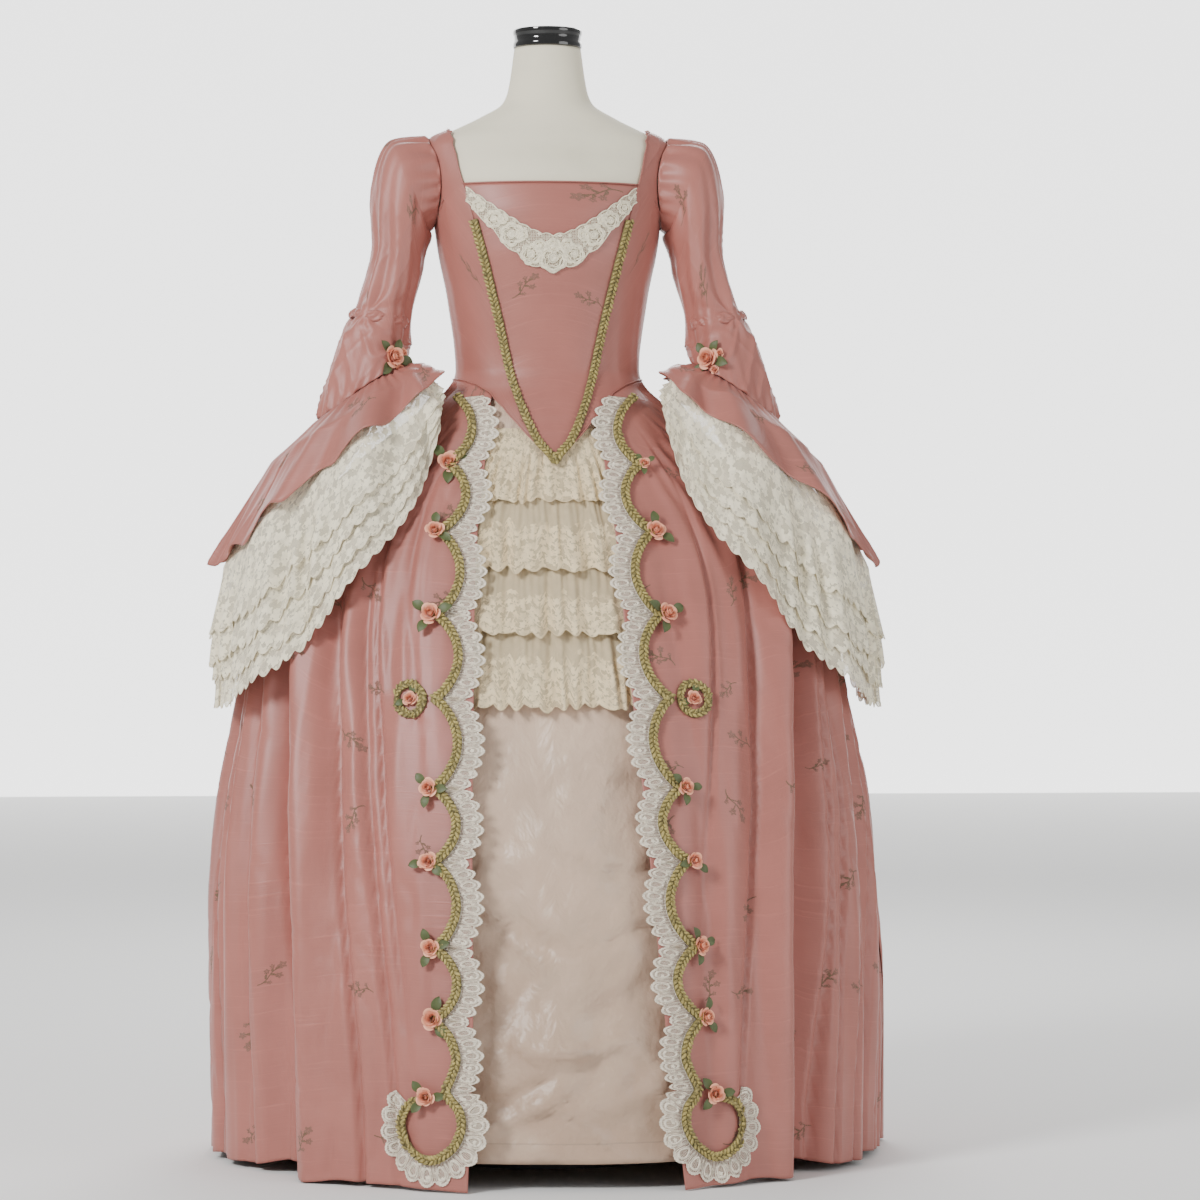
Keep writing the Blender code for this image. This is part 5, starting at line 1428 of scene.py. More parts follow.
def make_bodice(settings):
    """Stomacher, fronts and backs with their straps, and the piping on their edges."""
    silk = silk_finish("bodice_silk", shade(settings.silk_colour, 0.97))
    levels = np.array([row[0] for row in POINT_LINE])
    half = np.array([azimuth_at(x, z) for z, x in POINT_LINE]) - SEAM_GAP / 2 / GOWN[1](levels)
    phi = finer(half[:, None] * np.linspace(-1, 1, 9)[None, :], 10)
    z = finer(levels[:, None] + np.zeros((1, 9)), 10)
    points = gown(phi, z) + stomacher_creases(phi, z)[..., None] * normals(gown, phi, z)
    piece = cloth_piece("stomacher_silk", [(points, None)], 0.0014, silk, ["stomacher"])
    cords = [on_gown(np.linspace(-HALF_NECKLINE, HALF_NECKLINE, 60), NECKLINE + 0.0004, 0.0003)]
    for word in ("left", "right"):
        side = side_of(word)
        for behind, part in ((False, "front"), (True, "back")):
            grids = bodice_grids(side, behind, panel_creases)
            piece = cloth_piece(f"bodice_{part}_{word}_silk", grids, 0.0014, silk,
                                [f"bodice_{part}_{word}"])
            above, column = grids[1][0], -1 if ((side < 0) == (not behind)) else 0
            facing = above[:, column] - (above[:, column].mean(0) * [0.0, 0.0, 1.0])
            facing = facing / np.linalg.norm(facing, axis=1, keepdims=True)
            cords.append(above[:-1, column] + 0.0004 * facing[:-1])
    degrees = np.radians(np.linspace(-178, -2.2, 170))
    for turn in (degrees, -degrees[::-1]):
        level = lower_edge(turn)
        cords.append(gown(turn, level + 0.0002) + 0.0005 * normals(gown, turn, level))
    piping = collect("bodice_piping", cord_mesh("bodice_piping", cords, 0.0011, 6), CORD_FINISH["silk"])


def sleeve_creases(psi, t):
    """Gathers at the sleeve's head, long soft folds, and pulls that run out from the elbow's tab."""
    turn = (np.degrees(psi) + 180) % 360 - 180
    top = 0.25 + 0.75 * np.cos(np.radians(turn) / 2) ** 2
    start = ease(t / 0.10)
    head = 0.0040 * np.cos(psi * 17 + 1.6 * np.sin(psi * 3)) * np.exp(-t / 0.70) * top * start
    x, y = np.cos(psi), np.sin(psi)
    free = 0.35 + 0.65 * np.maximum(ease((x + 0.75) / 0.8), ease((t - 2.5) / 1.0))
    long = 0.0060 * free * SLEEVE_NOISE.at(x * 2.6 + t * 0.35 + 9, y * 2.6 + t * 0.25 + 5) * ease(t / 0.8)
    soft = 0.0016 * free * SLEEVE_NOISE.at(x * 5.0 + t * 0.8 + 30, y * 5.0 - t * 0.5 + 12) * ease(t / 0.8)
    wrinkle = SLEEVE_NOISE.ridge(x * 3.4 - t * 2.0 + 14, y * 3.4 + t * 1.5 + 3)
    soft = soft + 0.0010 * wrinkle * ease((t - 1.4) / 1.2) * ease((t - 0.6) / 0.8)
    near = np.exp(-(((t - 4.5) / 0.65) ** 2)) * ease(1 - np.abs(turn - 70) / 120)
    from_tab = np.arctan2((t - 4.5) * 0.055, np.radians(turn - 60) * 0.056)
    rays = 0.0032 * np.sin(from_tab * 7 + 1.0) * near * ease(np.abs(t - 4.5) / 0.4)
    puff = 0.0036 * SLEEVE_NOISE.ridge(x * 2.2 + t * 0.9 + 2, y * 2.2 - t * 0.55 + 60) * ease((t - 4.7) / 0.5)
    seam = 0.0014 * np.cos(psi * 26 + 2 * np.sin(psi * 2)) * np.exp(-(7 - t) / 0.45)
    end = ease((7 - t) / 0.08)
    return head + long + soft + rays + puff * end + seam * end


def sleeve_creased(psi, t):
    """The right sleeve's surface with its creases."""
    psi, t = np.broadcast_arrays(psi, t)
    return sleeve(psi, t) + sleeve_creases(psi, t)[..., None] * normals(sleeve, psi, t, 1e-3)


def make_sleeves(settings):
    """The sleeves, their ruched elbow tabs, and the flounces gathered into their seams."""
    silk = silk_finish("sleeve_silk", settings.silk_colour)
    around = np.linspace(0, TURN, 129)[None, :]
    t = np.concatenate([np.linspace(0, 1.2, 34), np.linspace(1.25, 7, 96)])[:, None]
    cuff_around = np.linspace(0, TURN, 297)[None, :]
    cuff_t = np.concatenate([np.linspace(0, 0.3, 16), np.linspace(0.33, 1.0, 26)])[:, None]
    for word in ("left", "right"):
        side = side_of(word)
        psi = around + 0 * t
        points = on_side(sleeve_creased, side)(psi, t + 0 * psi)
        piece = cloth_piece(f"sleeve_{word}_silk", [(points, None)], settings.sleeve_thickness, silk,
                            [f"sleeve_{word}"])
        psi = cuff_around + 0 * cuff_t
        longer = 1.0 + 0.055 * np.cos(psi * 11 * side + 2.6 * np.sin(psi * 2) + 0.6) - 0.03
        points = on_side(flounce_of_sleeve, side)(psi, cuff_t * longer)
        piece = cloth_piece(f"sleeve_flounce_{word}_silk", [(points, None)], 0.0014, silk,
                            [f"sleeve_flounce_{word}"])
        make_tab(word, side, silk)


def flounce_of_sleeve(psi, t):
    """The right sleeve's flounce with its fine gathers."""
    psi, t = np.broadcast_arrays(psi, t)
    gathers = 0.0016 * np.cos(psi * 34 + 3 * np.sin(psi * 3)) * np.exp(-t / 0.22) * ease(t / 0.03)
    x, y = np.cos(psi), np.sin(psi)
    folds = 0.0042 * LACE_NOISE.at(x * 5.5 + 8, y * 5.5 + t * 0.6) * ease(t / 0.5)
    folds = folds + 0.0170 * (0.5 + 0.5 * np.cos(psi * 11 + 2.2 * np.sin(psi * 2 + 1.0))) ** 1.5 * t**1.5
    drag = 0.0020 * LACE_NOISE.ridge(x * 6 + t * 1.5 + 30, y * 6 - t * 0.8) * ease(t / 0.3) * ease((1.0 - t) / 0.1)
    return cuff(psi, t) + (gathers + folds + drag)[..., None] * cuff_facing(psi, t)


def make_tab(word, side, silk):
    """A ruched tab across the elbow's front: a band drawn up into folds."""
    psi = np.radians(np.linspace(-4, 154, 90))[None, :] * side
    across = np.linspace(0, 1, 20)[:, None]
    surface = on_side(sleeve, side)
    wave = 0.5 + 0.5 * np.cos(np.degrees(psi * side) / 158 * TURN * 5)
    middle, half = 4.54 + 0 * psi, 0.18 - 0.05 * wave
    t = middle + (across * 2 - 1) * half
    bulge = np.sin(math.pi * across) ** 0.5
    ruche = 0.0013 * np.sin(np.degrees(psi * side) / 2.9 + 5 * across + 2 * SLEEVE_NOISE.at(across * 4, psi * 3))
    lift = 0.0016 + bulge * (0.0024 + ruche * 0.8 + 0.0006 * SLEEVE_NOISE.at(psi * 30, across * 6))
    points = surface(psi + 0 * t, t) + lift[..., None] * normals(surface, psi + 0 * t, t, 1e-3)
    if side < 0:
        points = points[:, ::-1]
    piece = cloth_piece(f"elbow_tab_{word}", [(points, None)], 0.0012, silk,
                        [f"sleeve_tab_{word}"])


def lace_tier(number):
    """The surface of one tier of the right sleeve's lace, with its own small folds."""
    def surface(psi, t):
        psi, t = np.broadcast_arrays(psi, t)
        x, y = np.cos(psi), np.sin(psi)
        inside = 0.0022 + number * (0.0016 + 0.0010 * np.clip(t, 0, 1))
        seed = 13.0 * number
        free = ease((t - 0.5) / 1.0)
        small = 0.0013 * LACE_NOISE.at(x * 22 + seed, y * 22 + t * 1.8) * free
        drift = 1.6 * LACE_NOISE.at(x * 2.2 + 5, y * 2.2 + t * 0.35)
        pleat = 0.5 + 0.5 * np.cos(psi * 23 + 3.0 * drift + 0.35 * number)
        folds = (0.0185 - 0.0035 * number) * pleat * ease((t - 0.92) / 0.75)
        folds = folds + small - 0.0020 * free
        return cuff(psi, t) + (folds - inside)[..., None] * cuff_facing(psi, t)
    return surface


def make_sleeve_lace(settings):
    """Four tiers of ivory lace in each sleeve, each with a scalloped edge."""
    columns = 561
    around = np.linspace(0, TURN, columns)[None, :]
    previous = 0.55
    for number, end in enumerate(LACE_ENDS, 1):
        finish = lace_finish(f"sleeve_lace_{number}", settings.ivory_colour, 0.0016, 0.0150, 0.80, 0.16, None, 0.50)
        share = np.concatenate([np.linspace(0, 0.82, 16), np.linspace(0.85, 1.0, 9)])[:, None]
        scallops = 74
        beat = np.abs(np.sin(around * scallops / 2))
        t = previous + (end - previous) * share
        t = t + 0.042 * (beat - 1) * ease((share - 0.80) / 0.20)
        t = t + (0.05 * LACE_NOISE.at(around * 3.4 + number * 7, 0 * around) - 0.02) * ease(share) * (number < 4)
        t = np.clip(t, 0.04, 2.0)
        for word in ("left", "right"):
            side = side_of(word)
            psi = around + 0 * t
            points = on_side(lace_tier(number), side)(psi, t + 0 * psi)
            piece = cloth_piece(f"lace_tier_{word}_{number}", [(points, None)], 0.0, finish,
                                [f"sleeve_lace_{word}_{number}"])
            cord = cord_mesh(f"tier_edge_{word}_{number}", [points[-1][:-1]], 0.0006, 4, closed=True)
            collect(f"tier_edge_{word}_{number}", cord, CORD_FINISH["ivory"])
        previous = end - 0.30


def scallop_path(step=0.0022):
    """The skirt braid's path: its scallops, cusp to cusp, then the loop, at even steps."""
    path = []
    for high, low in zip(CUSPS, CUSPS[1:]):
        for share in np.linspace(0, 1, 24, endpoint=False):
            bulge = math.sin(math.pi * share) ** 0.7
            path.append((CUSP_IN + (BULGE_IN - CUSP_IN) * bulge, high + (low - high) * share))
    path.append((CUSP_IN, CUSPS[-1]))
    path = evened(path, step)
    tail = rounded([(CUSP_IN, CUSPS[-1])] + list(LOOP), step)
    return np.concatenate([path, tail[1:]])


def evened(path, step):
    """A path with points at even steps along it."""
    path = np.asarray(path, float)
    reach = np.concatenate([[0.0], np.cumsum(np.linalg.norm(np.diff(path, axis=0), axis=1))])
    at = np.linspace(0, reach[-1], max(2, int(round(reach[-1] / step)) + 1))
    return np.stack([np.interp(at, reach, path[:, k]) for k in range(path.shape[1])], -1)


def rounded(path, step, closed=False):
    """A smooth path through points, at even steps."""
    path = np.asarray(path, float)
    count = len(path)
    fine = []
    for k in range(count if closed else count - 1):
        around = [path[(k + d) % count] if closed else path[min(max(k + d, 0), count - 1)] for d in (-1, 0, 1, 2)]
        for t in np.linspace(0, 1, 10, endpoint=False):
            a, b, c, d = around
            fine.append(0.5 * (2 * b + (c - a) * t + (2 * a - 5 * b + 4 * c - d) * t**2
                               + (3 * b - a - 3 * c + d) * t**3))
    fine.append(path[0] if closed else path[-1])
    return evened(fine, step)


def rib_shape():
    """One plait of braid: a short fat lozenge, lying flat."""
    rows, columns = 5, 8
    points = [(-1.0, 0, 0.25)]
    for row in range(1, rows):
        a = math.pi * row / rows
        for k in range(columns):
            b = TURN * k / columns
            points.append((-math.cos(a), 0.46 * math.sin(a) * math.cos(b), 0.25 + 0.30 * math.sin(a) * math.sin(b)))
    points.append((1.0, 0, 0.25))
    faces = [(0, 1 + (k + 1) % columns, 1 + k) for k in range(columns)]
    for row in range(rows - 2):
        for k in range(columns):
            a, b = 1 + row * columns + k, 1 + row * columns + (k + 1) % columns
            faces.append((a, b, b + columns, a + columns))
    last = len(points) - 1
    faces += [(last, last - columns + k, last - columns + (k + 1) % columns) for k in range(columns)]
    return template("braid_plait", points, faces)


def braid_mesh(name, path, place, low, finish, core, width, closed=False):
    """A plaited braid along a path in the cloth's two measures: a core with two rows of plaits over it."""
    path = np.asarray(path)
    ahead = np.roll(path, -1, 0) if closed else np.concatenate([path[1:], 2 * path[-1:] - path[-2:-1]])
    behind = np.roll(path, 1, 0) if closed else np.concatenate([2 * path[:1] - path[1:2], path[:-1]])
    along = ahead - behind
    along = along / np.linalg.norm(along, axis=1, keepdims=True)
    across = np.stack([along[:, 1], -along[:, 0]], -1)
    rows = []
    for half, lift in ((-0.50, 0.0), (-0.44, 0.0014), (-0.2, 0.0024), (0.2, 0.0024), (0.44, 0.0014), (0.50, 0.0)):
        at = path + across * half * width * 0.86
        rows.append(place(at[:, 0], at[:, 1], low + lift))
    grid = np.stack(rows, 0)
    if closed:
        grid = np.concatenate([grid, grid[:, :1]], 1)
    base = cloth_mesh(name + "_core", [(grid, flat_measure(grid))])
    base.materials.append(core)
    places, ups, alongs, sizes = [], [], [], []
    for sign in (-1, 1):
        chosen = np.arange(0 if sign < 0 else 1, len(path) - 1, 2)
        at = path[chosen] + across[chosen] * sign * 0.235 * width
        wobble = 0.0004 * np.sin(chosen * 2.4)
        here = place(at[:, 0], at[:, 1], low + 0.0016)
        above = place(at[:, 0], at[:, 1], low + 0.0046)
        way = along[chosen] * 0.72 + across[chosen] * sign * 0.62
        beyond = place(at[:, 0] + way[:, 0] * 0.002, at[:, 1] + way[:, 1] * 0.002, low + 0.0016)
        places.append(here)
        ups.append(above - here)
        alongs.append(beyond - here)
        sizes.append(np.full(len(chosen), width * 0.335) + wobble)
    small = rib_shape()
    plaits = sewn_mesh(name + "_plaits", np.concatenate(places), np.concatenate(ups), np.concatenate(alongs),
                       np.concatenate(sizes), small, finish)
    bpy.data.objects.remove(small)
    return joined(name, [base, plaits])


def make_braids(settings):
    """The green-gold braid down the overskirt's edges, its rings, and the braid along the stomacher."""
    gold = thread_finish("gold_braid", settings.braid_colour, shade(settings.braid_colour, 0.36), 0.50)
    core = thread_finish("braid_core", shade(settings.braid_colour, 0.45), shade(settings.braid_colour, 0.2), 0.75)
    for word in ("left", "right"):
        side = side_of(word)

        def place(inward, z, lift, side=side):
            return on_front(side, inward, z, lift)

        mesh = braid_mesh(f"edge_braid_{word}", scallop_path(0.0030), place, BRAID_LIFT, gold, core,
                          settings.braid_width)
        piece = collect(f"edge_braid_{word}", mesh, None)
        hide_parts(f"skirt_braid_{word}")
        middle = (CUSP_IN + RING_RADIUS + 0.014 + 0.001, CUSPS[RING_CUSP])
        turns = np.linspace(0, TURN, 42, endpoint=False)
        loop = np.stack([middle[0] + RING_RADIUS * np.cos(turns), middle[1] + RING_RADIUS * np.sin(turns)], -1)
        mesh = braid_mesh(f"braid_ring_{word}", loop, place, RING_LIFT + 0.0006, gold, core,
                          settings.ring_width, closed=True)
        piece = collect(f"braid_ring_{word}", mesh, None)
        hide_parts(f"skirt_ring_{word}")
    heights, halves = zip(*POINT_LINE)
    levels = [STOMACHER_BRAID_TOP] + [z for z in reversed(heights) if z < STOMACHER_BRAID_TOP - 0.01]
    side_path = [(float(np.interp(z, heights, halves)), z) for z in levels]
    path = side_path + [(0.0, POINT - 0.006)] + [(-x, z) for x, z in reversed(side_path)]
    mesh = braid_mesh("point_braid_plaited", evened(path, 0.0030), on_gown, V_LIFT - 0.0006, gold, core,
                      settings.point_width)
    piece = collect("point_braid", mesh, None)
    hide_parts("stomacher_braid")


def lobe_lines():
    """One lobe of edging lace, a unit wide and a unit long: the lines of its cords, as across and out."""
    lines = []
    turns = np.linspace(0, TURN, 26, endpoint=False)
    narrow = 0.20 + 0.10 * (1 - np.cos(turns)) / 2
    loop = np.stack([narrow * np.sin(turns), 0.56 - 0.24 * np.cos(turns)], -1)
    lines.append((np.concatenate([loop, loop[:1]]), 0.052, 0.9))
    outer = np.stack([(0.30 + 0.12 * (1 - np.cos(turns)) / 2) * np.sin(turns), 0.58 - 0.37 * np.cos(turns)], -1)
    lines.append((outer[3:24], 0.030, 0.3))
    sweep = np.linspace(-1, 1, 60)
    rim = np.stack([0.5 * sweep, 0.70 + 0.27 * np.cos(sweep * 1.5) + 0.028 * np.abs(np.sin(sweep * 11))], -1)
    lines.append((rim, 0.030, 0.3))
    for start in (-0.46, -0.22, 0.22, 0.46):
        stem = np.linspace(0, 1, 8)
        tall = 0.62 + 0.2 * (abs(start) < 0.3)
        lines.append((np.stack([start + 0.02 * np.sin(stem * 5), stem * tall], -1), 0.022, 0.2))
    lines.append((np.stack([np.linspace(-0.5, 0.5, 12), np.full(12, 0.045)], -1), 0.05, 0.5))
    lines.append((np.stack([np.linspace(-0.5, 0.5, 12), 0.16 + 0.03 * np.cos(np.linspace(0, 25, 12))], -1), 0.026, 0.2))
    return lines


def ribbon_strip(line, half_width, height):
    """A low raised strip along a flat line: rows of points for its left foot, crown and right foot."""
    line = np.asarray(line)
    along = np.gradient(line, axis=0)
    along = along / np.maximum(np.linalg.norm(along, axis=1, keepdims=True), 1e-9)
    across = np.stack([along[:, 1], -along[:, 0]], -1)
    rows = []
    for share, lift in ((-1.0, 0.0), (-0.55, 0.75 * height), (0.0, height), (0.55, 0.75 * height), (1.0, 0.0)):
        rows.append(np.concatenate([line + across * half_width * share, np.full((len(line), 1), lift)], 1))
    return np.stack(rows, 0)


def edging_stations(step=LACE_PITCH):
    """Where the edging lace's lobes stand: their foot under the braid and the way they point."""
    down = evened([p for p in scallop_path(0.002) if p[1] > 0.128], 0.001)
    foot = down[::int(step / 0.001)]
    stations = [(at, np.array([-1.0, 0.0])) for at in foot]
    for k in range(1, len(stations) - 1):
        along = stations[k + 1][0] - stations[k - 1][0]
        out = np.array([along[1], -along[0]]) / np.linalg.norm(along)
        out = out if out[0] < 0 else -out
        mixed = out * 0.35 + np.array([-1.0, 0.0]) * 0.65
        stations[k] = (stations[k][0], mixed / np.linalg.norm(mixed))
    loop = rounded(LOOP[4:11], 0.001)
    for at in loop[::int(step / 0.001)]:
        way = at - np.array(LOOP_CENTRE)
        stations.append((at, way / np.linalg.norm(way)))
    return stations


def make_edging_lace(settings):
    """White lace lobes with corded loops, from under the braid over the petticoat."""
    net = lace_finish("edging_net", settings.white_colour, 0.0016, 0.0060, 0.18, 0.13, None, 0.12)
    lines = lobe_lines()
    for word in ("left", "right"):
        side = side_of(word)
        stations = edging_stations()
        strips, nets = [], []
        for (low, way_low), (high, way_high) in zip(stations, stations[1:]):
            if np.linalg.norm(high - low) > FARTHEST_LOBES:
                continue

            def lay(flat, low=low, high=high, way_low=way_low, way_high=way_high, lift=0.0):
                share, out = flat[..., 0:1] + 0.5, flat[..., 1:2] * LACE_REACH
                at = (low + way_low * out) * (1 - share) + (high + way_high * out) * share
                extra = flat[..., 2] * 0.0014 if flat.shape[-1] > 2 else 0.0
                return on_front(side, at[..., 0], at[..., 1], LACE_LIFT + lift + extra)

            for line, half_width, height in lines:
                grid = lay(ribbon_strip(line, half_width, height), lift=0.0004)
                strips.append((grid, np.zeros(grid.shape[:2] + (2,))))
            across = np.linspace(-0.5, 0.5, 9)[None, :]
            out = np.linspace(0, 1, 8)[:, None] * (0.70 + 0.27 * np.cos(across * 2 * 1.5))
            flat = np.stack([across + 0 * out, out], -1)
            nets.append((lay(flat), np.stack([flat[..., 0] * LACE_PITCH + low[1], flat[..., 1] * 0.034 + low[0]], -1)))
        base = cloth_mesh(f"edging_net_{word}", nets)
        base.materials.append(net)
        cords = cloth_mesh(f"edging_cords_{word}", strips)
        cords.materials.append(CORD_FINISH["white"])
        piece = collect(f"edging_lace_{word}_worked", joined(f"edging_lace_{word}_worked", [base, cords]), None)
        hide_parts(f"edging_lace_{word}")
        area = sum(grid_area(grid) for grid, _ in nets)


def make_bodice_lace(settings):
    """The corded lace at the neckline: flowers outlined in cord on a worked ground."""
    ground = lace_finish("bodice_net", settings.ivory_colour, 0.0022, 0.0070, 0.35, 0.14, None, 0.10)
    table = [(-x, high, low) for x, high, low in reversed(BODICE_LACE[1:])] + list(BODICE_LACE)
    at = np.linspace(-0.117, 0.117, 190)
    x, high, low = (np.array(column) for column in zip(*table))
    upper = np.interp(at, x, high) + 0.0025 * np.abs(np.sin(at * 210)) + 0.001
    lower = np.interp(at, x, low) - 0.0070 * np.abs(np.cos(at * 98)) * (1 - np.abs(at) * 4) + 0.003
    share = np.linspace(0, 1, 22)[:, None]
    z = lower + (upper - lower) * share
    points = on_gown(at[None, :] + 0 * z, z, LACE_LIFT)
    flat = np.stack([at[None, :] + 0 * z, z], -1)
    base = cloth_mesh("bodice_lace_ground", [(points, flat)])
    strips = []
    middle = np.interp(at, x, (high + low) / 2)

    def cord(line, half_width, height):
        line = np.asarray(line)
        grid = ribbon_strip(line, half_width, height)
        grid = on_gown(grid[..., 0], grid[..., 1], LACE_LIFT + 0.0004 + grid[..., 2])
        strips.append((grid, np.zeros(grid.shape[:2] + (2,))))

    blooms = [(0.0, -0.006, 0.0185), (-0.030, -0.010, 0.0135), (0.029, -0.009, 0.0130), (-0.056, 0.0, 0.0155),
              (0.056, 0.0, 0.0145), (-0.080, 0.001, 0.0115), (0.079, 0.001, 0.0120), (-0.100, 0.0, 0.0085),
              (0.099, 0.0, 0.0090), (0.0, 0.010, 0.0095), (-0.018, 0.006, 0.0085), (0.019, 0.007, 0.0085),
              (-0.042, 0.010, 0.0075), (0.042, 0.010, 0.0075), (-0.068, 0.011, 0.0065), (0.068, 0.011, 0.0065)]
    turns = np.linspace(0, TURN, 56)
    for number, (bx, bz, size) in enumerate(blooms):
        cz = np.interp(bx, at, middle) + bz
        for rings, (radius, lobes, deep) in enumerate(((1.0, 6, 0.13), (0.66, 5, 0.14), (0.34, 4, 0.1))):
            reach = size * radius * (1 - deep + deep * np.abs(np.sin(turns * lobes / 2 + number + rings)) * 1.6)
            cord(np.stack([bx + reach * np.cos(turns), cz + reach * np.sin(turns)], -1), 0.0011, 0.0016)
            if rings != 1:
                out = np.linspace(0.04, 0.80 if rings else 0.97, 7)[:, None]
                low = 0.72 * radius if not rings else 0.0
                spread = (low / radius + (1 - low / radius) * out) * reach
                dome = 0.0007 + 0.0010 * np.sin(math.pi * out) + 0 * reach
                patch = on_gown(bx + spread * np.cos(turns), cz + spread * np.sin(turns), LACE_LIFT + dome)
                strips.append((patch, np.zeros(patch.shape[:2] + (2,))))
        if size > 0.0125:
            for k in range(5):
                a = TURN * k / 5 + number
                out = np.linspace(0.30, 0.92, 8)
                cord(np.stack([bx + size * out * np.cos(a + 0.3 * out), cz + size * out * np.sin(a + 0.3 * out)], -1),
                     0.0006, 0.0008)
    for line in (upper, lower):
        cord(np.stack([at, line], -1), 0.0009, 0.0011)
    vine = middle + 0.006 * np.sin(at * 120)
    cord(np.stack([at, vine], -1), 0.0007, 0.0009)
    cords = collect("neckline_flowers", cloth_mesh("neckline_flowers", strips), CORD_FINISH["ivory"])
    piece = collect("neckline_lace", base, ground)
    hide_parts("bodice_lace")
    max(grid_area(points), 0.0034)


def rose_shape(petals=13):
    """A ribbon rose of one unit's radius: a wound heart with curled petals round it."""
    points, faces, rim_highlight = [], [], []

    def sheet(grid, edge):
        start, (rows, columns) = len(points), grid.shape[:2]
        points.extend(grid.reshape(-1, 3))
        rim_highlight.extend(np.broadcast_to(edge, (rows, columns)).reshape(-1))
        for row in range(rows - 1):
            for column in range(columns - 1):
                a = start + row * columns + column
                faces.append((a, a + 1, a + columns + 1, a + columns))

    rise = np.linspace(0, 1, 6)[:, None]
    turn = np.linspace(0, TURN * 1.9, 40)[None, :]
    radius = 0.10 + 0.17 * turn / turn.max() + 0.03 * rise**2
    height = 0.10 + rise * (0.86 - 0.10 * turn / turn.max())
    grid = np.stack([radius * np.cos(turn), radius * np.sin(turn), height + 0 * turn], -1)
    sheet(grid, rise**3 * 0.9)
    rng = np.random.default_rng(5)
    for k in range(petals):
        level = k / petals
        middle = k * 2.4 + rng.uniform(-0.15, 0.15)
        spread = (1.15 - 0.25 * level) * np.linspace(-0.5, 0.5, 10)[None, :]
        out = 0.30 + 0.42 * level
        tall = 0.80 - 0.42 * level
        curl = rise**2 * (0.10 + 0.30 * level)
        cup = 1 - (np.linspace(-1, 1, 10)[None, :]) ** 2
        reach = out * (0.72 + 0.28 * rise) + curl * (0.6 + 0.4 * cup)
        top = 0.05 + tall * rise * (0.72 + 0.28 * cup) - 0.18 * level * rise**4
        angle = middle + spread * (0.65 + 0.5 * rise) * (1.6 - 0.6 * level)
        grid = np.stack([reach * np.cos(angle), reach * np.sin(angle), top + 0 * angle], -1)
        sheet(grid, rise**3 + 0 * angle)
    mesh = bpy.data.meshes.new("rose_shape")
    mesh.from_pydata([tuple(map(float, p)) for p in points], [], faces)
    # The 'edge' attribute is each point's share of painted highlight, rising to the petals' upper rims.
    layer = mesh.attributes.new("edge", "FLOAT", "POINT")
    layer.data.foreach_set("value", np.array(rim_highlight, np.float32))
    mesh.shade_smooth()
    return bpy.data.objects.new("rose_shape", mesh)


def leaf_shape():
    """A ribbon leaf, folded a little along its rib, from its foot at the origin along +X."""
    along = np.linspace(0, 1, 8)
    points, faces = [], []
    for a in along:
        half = 0.30 * math.sin(math.pi * a) ** 0.8
        lift = 0.22 * math.sin(math.pi * a * 0.8)
        edge = lift + 0.12 * half
        points += [(0.35 + a, -half, edge), (0.35 + a, 0.0, lift - 0.05), (0.35 + a, half, edge)]
    for k in range(len(along) - 1):
        for side in (0, 1):
            a = 3 * k + side
            faces.append((a, a + 3, a + 4, a + 1))
    return template("leaf_shape", points, faces)


def make_roses(settings):
    """Ribbon roses with their leaves at the braid's cusps and on the sleeves."""
    # The paler colour is the petals' painted highlight.
    peach = ribbon_finish("rose_ribbon", settings.peach_colour, shade(settings.peach_colour, 1.45))
    green = ribbon_finish("leaf_ribbon", (0.070, 0.092, 0.026), (0.12, 0.14, 0.05))
    roses, leaves, nodes = [], [], []

    def add(kept, foot, up, row_way, angle, size):
        way = math.cos(angle) * row_way + math.sin(angle) * np.cross(up, row_way)
        kept.append((foot, up, way, size))
        return way

    for word, rows in (("left", LEFT_ROSES), ("right", RIGHT_ROSES)):
        side = side_of(word)
        for number, (inward, z, size, low) in enumerate(rows, 1):
            foot = on_front(side, inward, z, low - (0.0026 if number != RING_CUSP else 0.0))
            up = foot - on_front(side, inward, z, low - 0.006)
            up = up / np.linalg.norm(up)
            row_way = np.cross(up, (0, 0, 1.0))
            add(roses, foot, up, row_way, number * 1.7 + side, size * 0.98)
            nodes.append(f"rose_{word}_{number}")
            for angle in (0.5, 2.7, 4.4)[: 2 + number % 2]:
                add(leaves, foot + 0.0006 * up, up, row_way, angle + number, size * 1.45)
        psi, t, size = SLEEVE_ROSE
        surface = on_side(sleeve, side)
        turn, level = np.array(side * psi), np.array(t)
        up = normals(surface, turn, level)
        row_way = np.cross(up, (0, 0, 1.0))
        row_way = row_way / np.linalg.norm(row_way)
        foot = surface(turn, level) + 0.0022 * up
        add(roses, foot, up, row_way, 0.0, size * 0.98)
        nodes.append(f"rose_sleeve_{word}")
        for angle, far in ((0.9, 1.0), (2.9, 1.05), (4.2, 0.9), (5.4, 0.9)):
            add(leaves, foot, up, row_way, angle, size * far * 1.4)
        for angle in (3.5, 2.2):
            way = add(roses, foot, up, row_way, angle, size * 0.42)
            roses[-1] = (foot + way * size * 1.15, *roses[-1][1:])
    rose, leaf = rose_shape(), leaf_shape()
    buds = sewn_mesh("ribbon_roses", *zip(*roses), rose, peach)
    green_leaves = sewn_mesh("rose_leaves", *zip(*leaves), leaf, green)
    bpy.data.objects.remove(rose)
    bpy.data.objects.remove(leaf)
    piece = collect("ribbon_roses", buds, None)
    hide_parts(*nodes)
    piece = collect("rose_leaves", green_leaves, None)


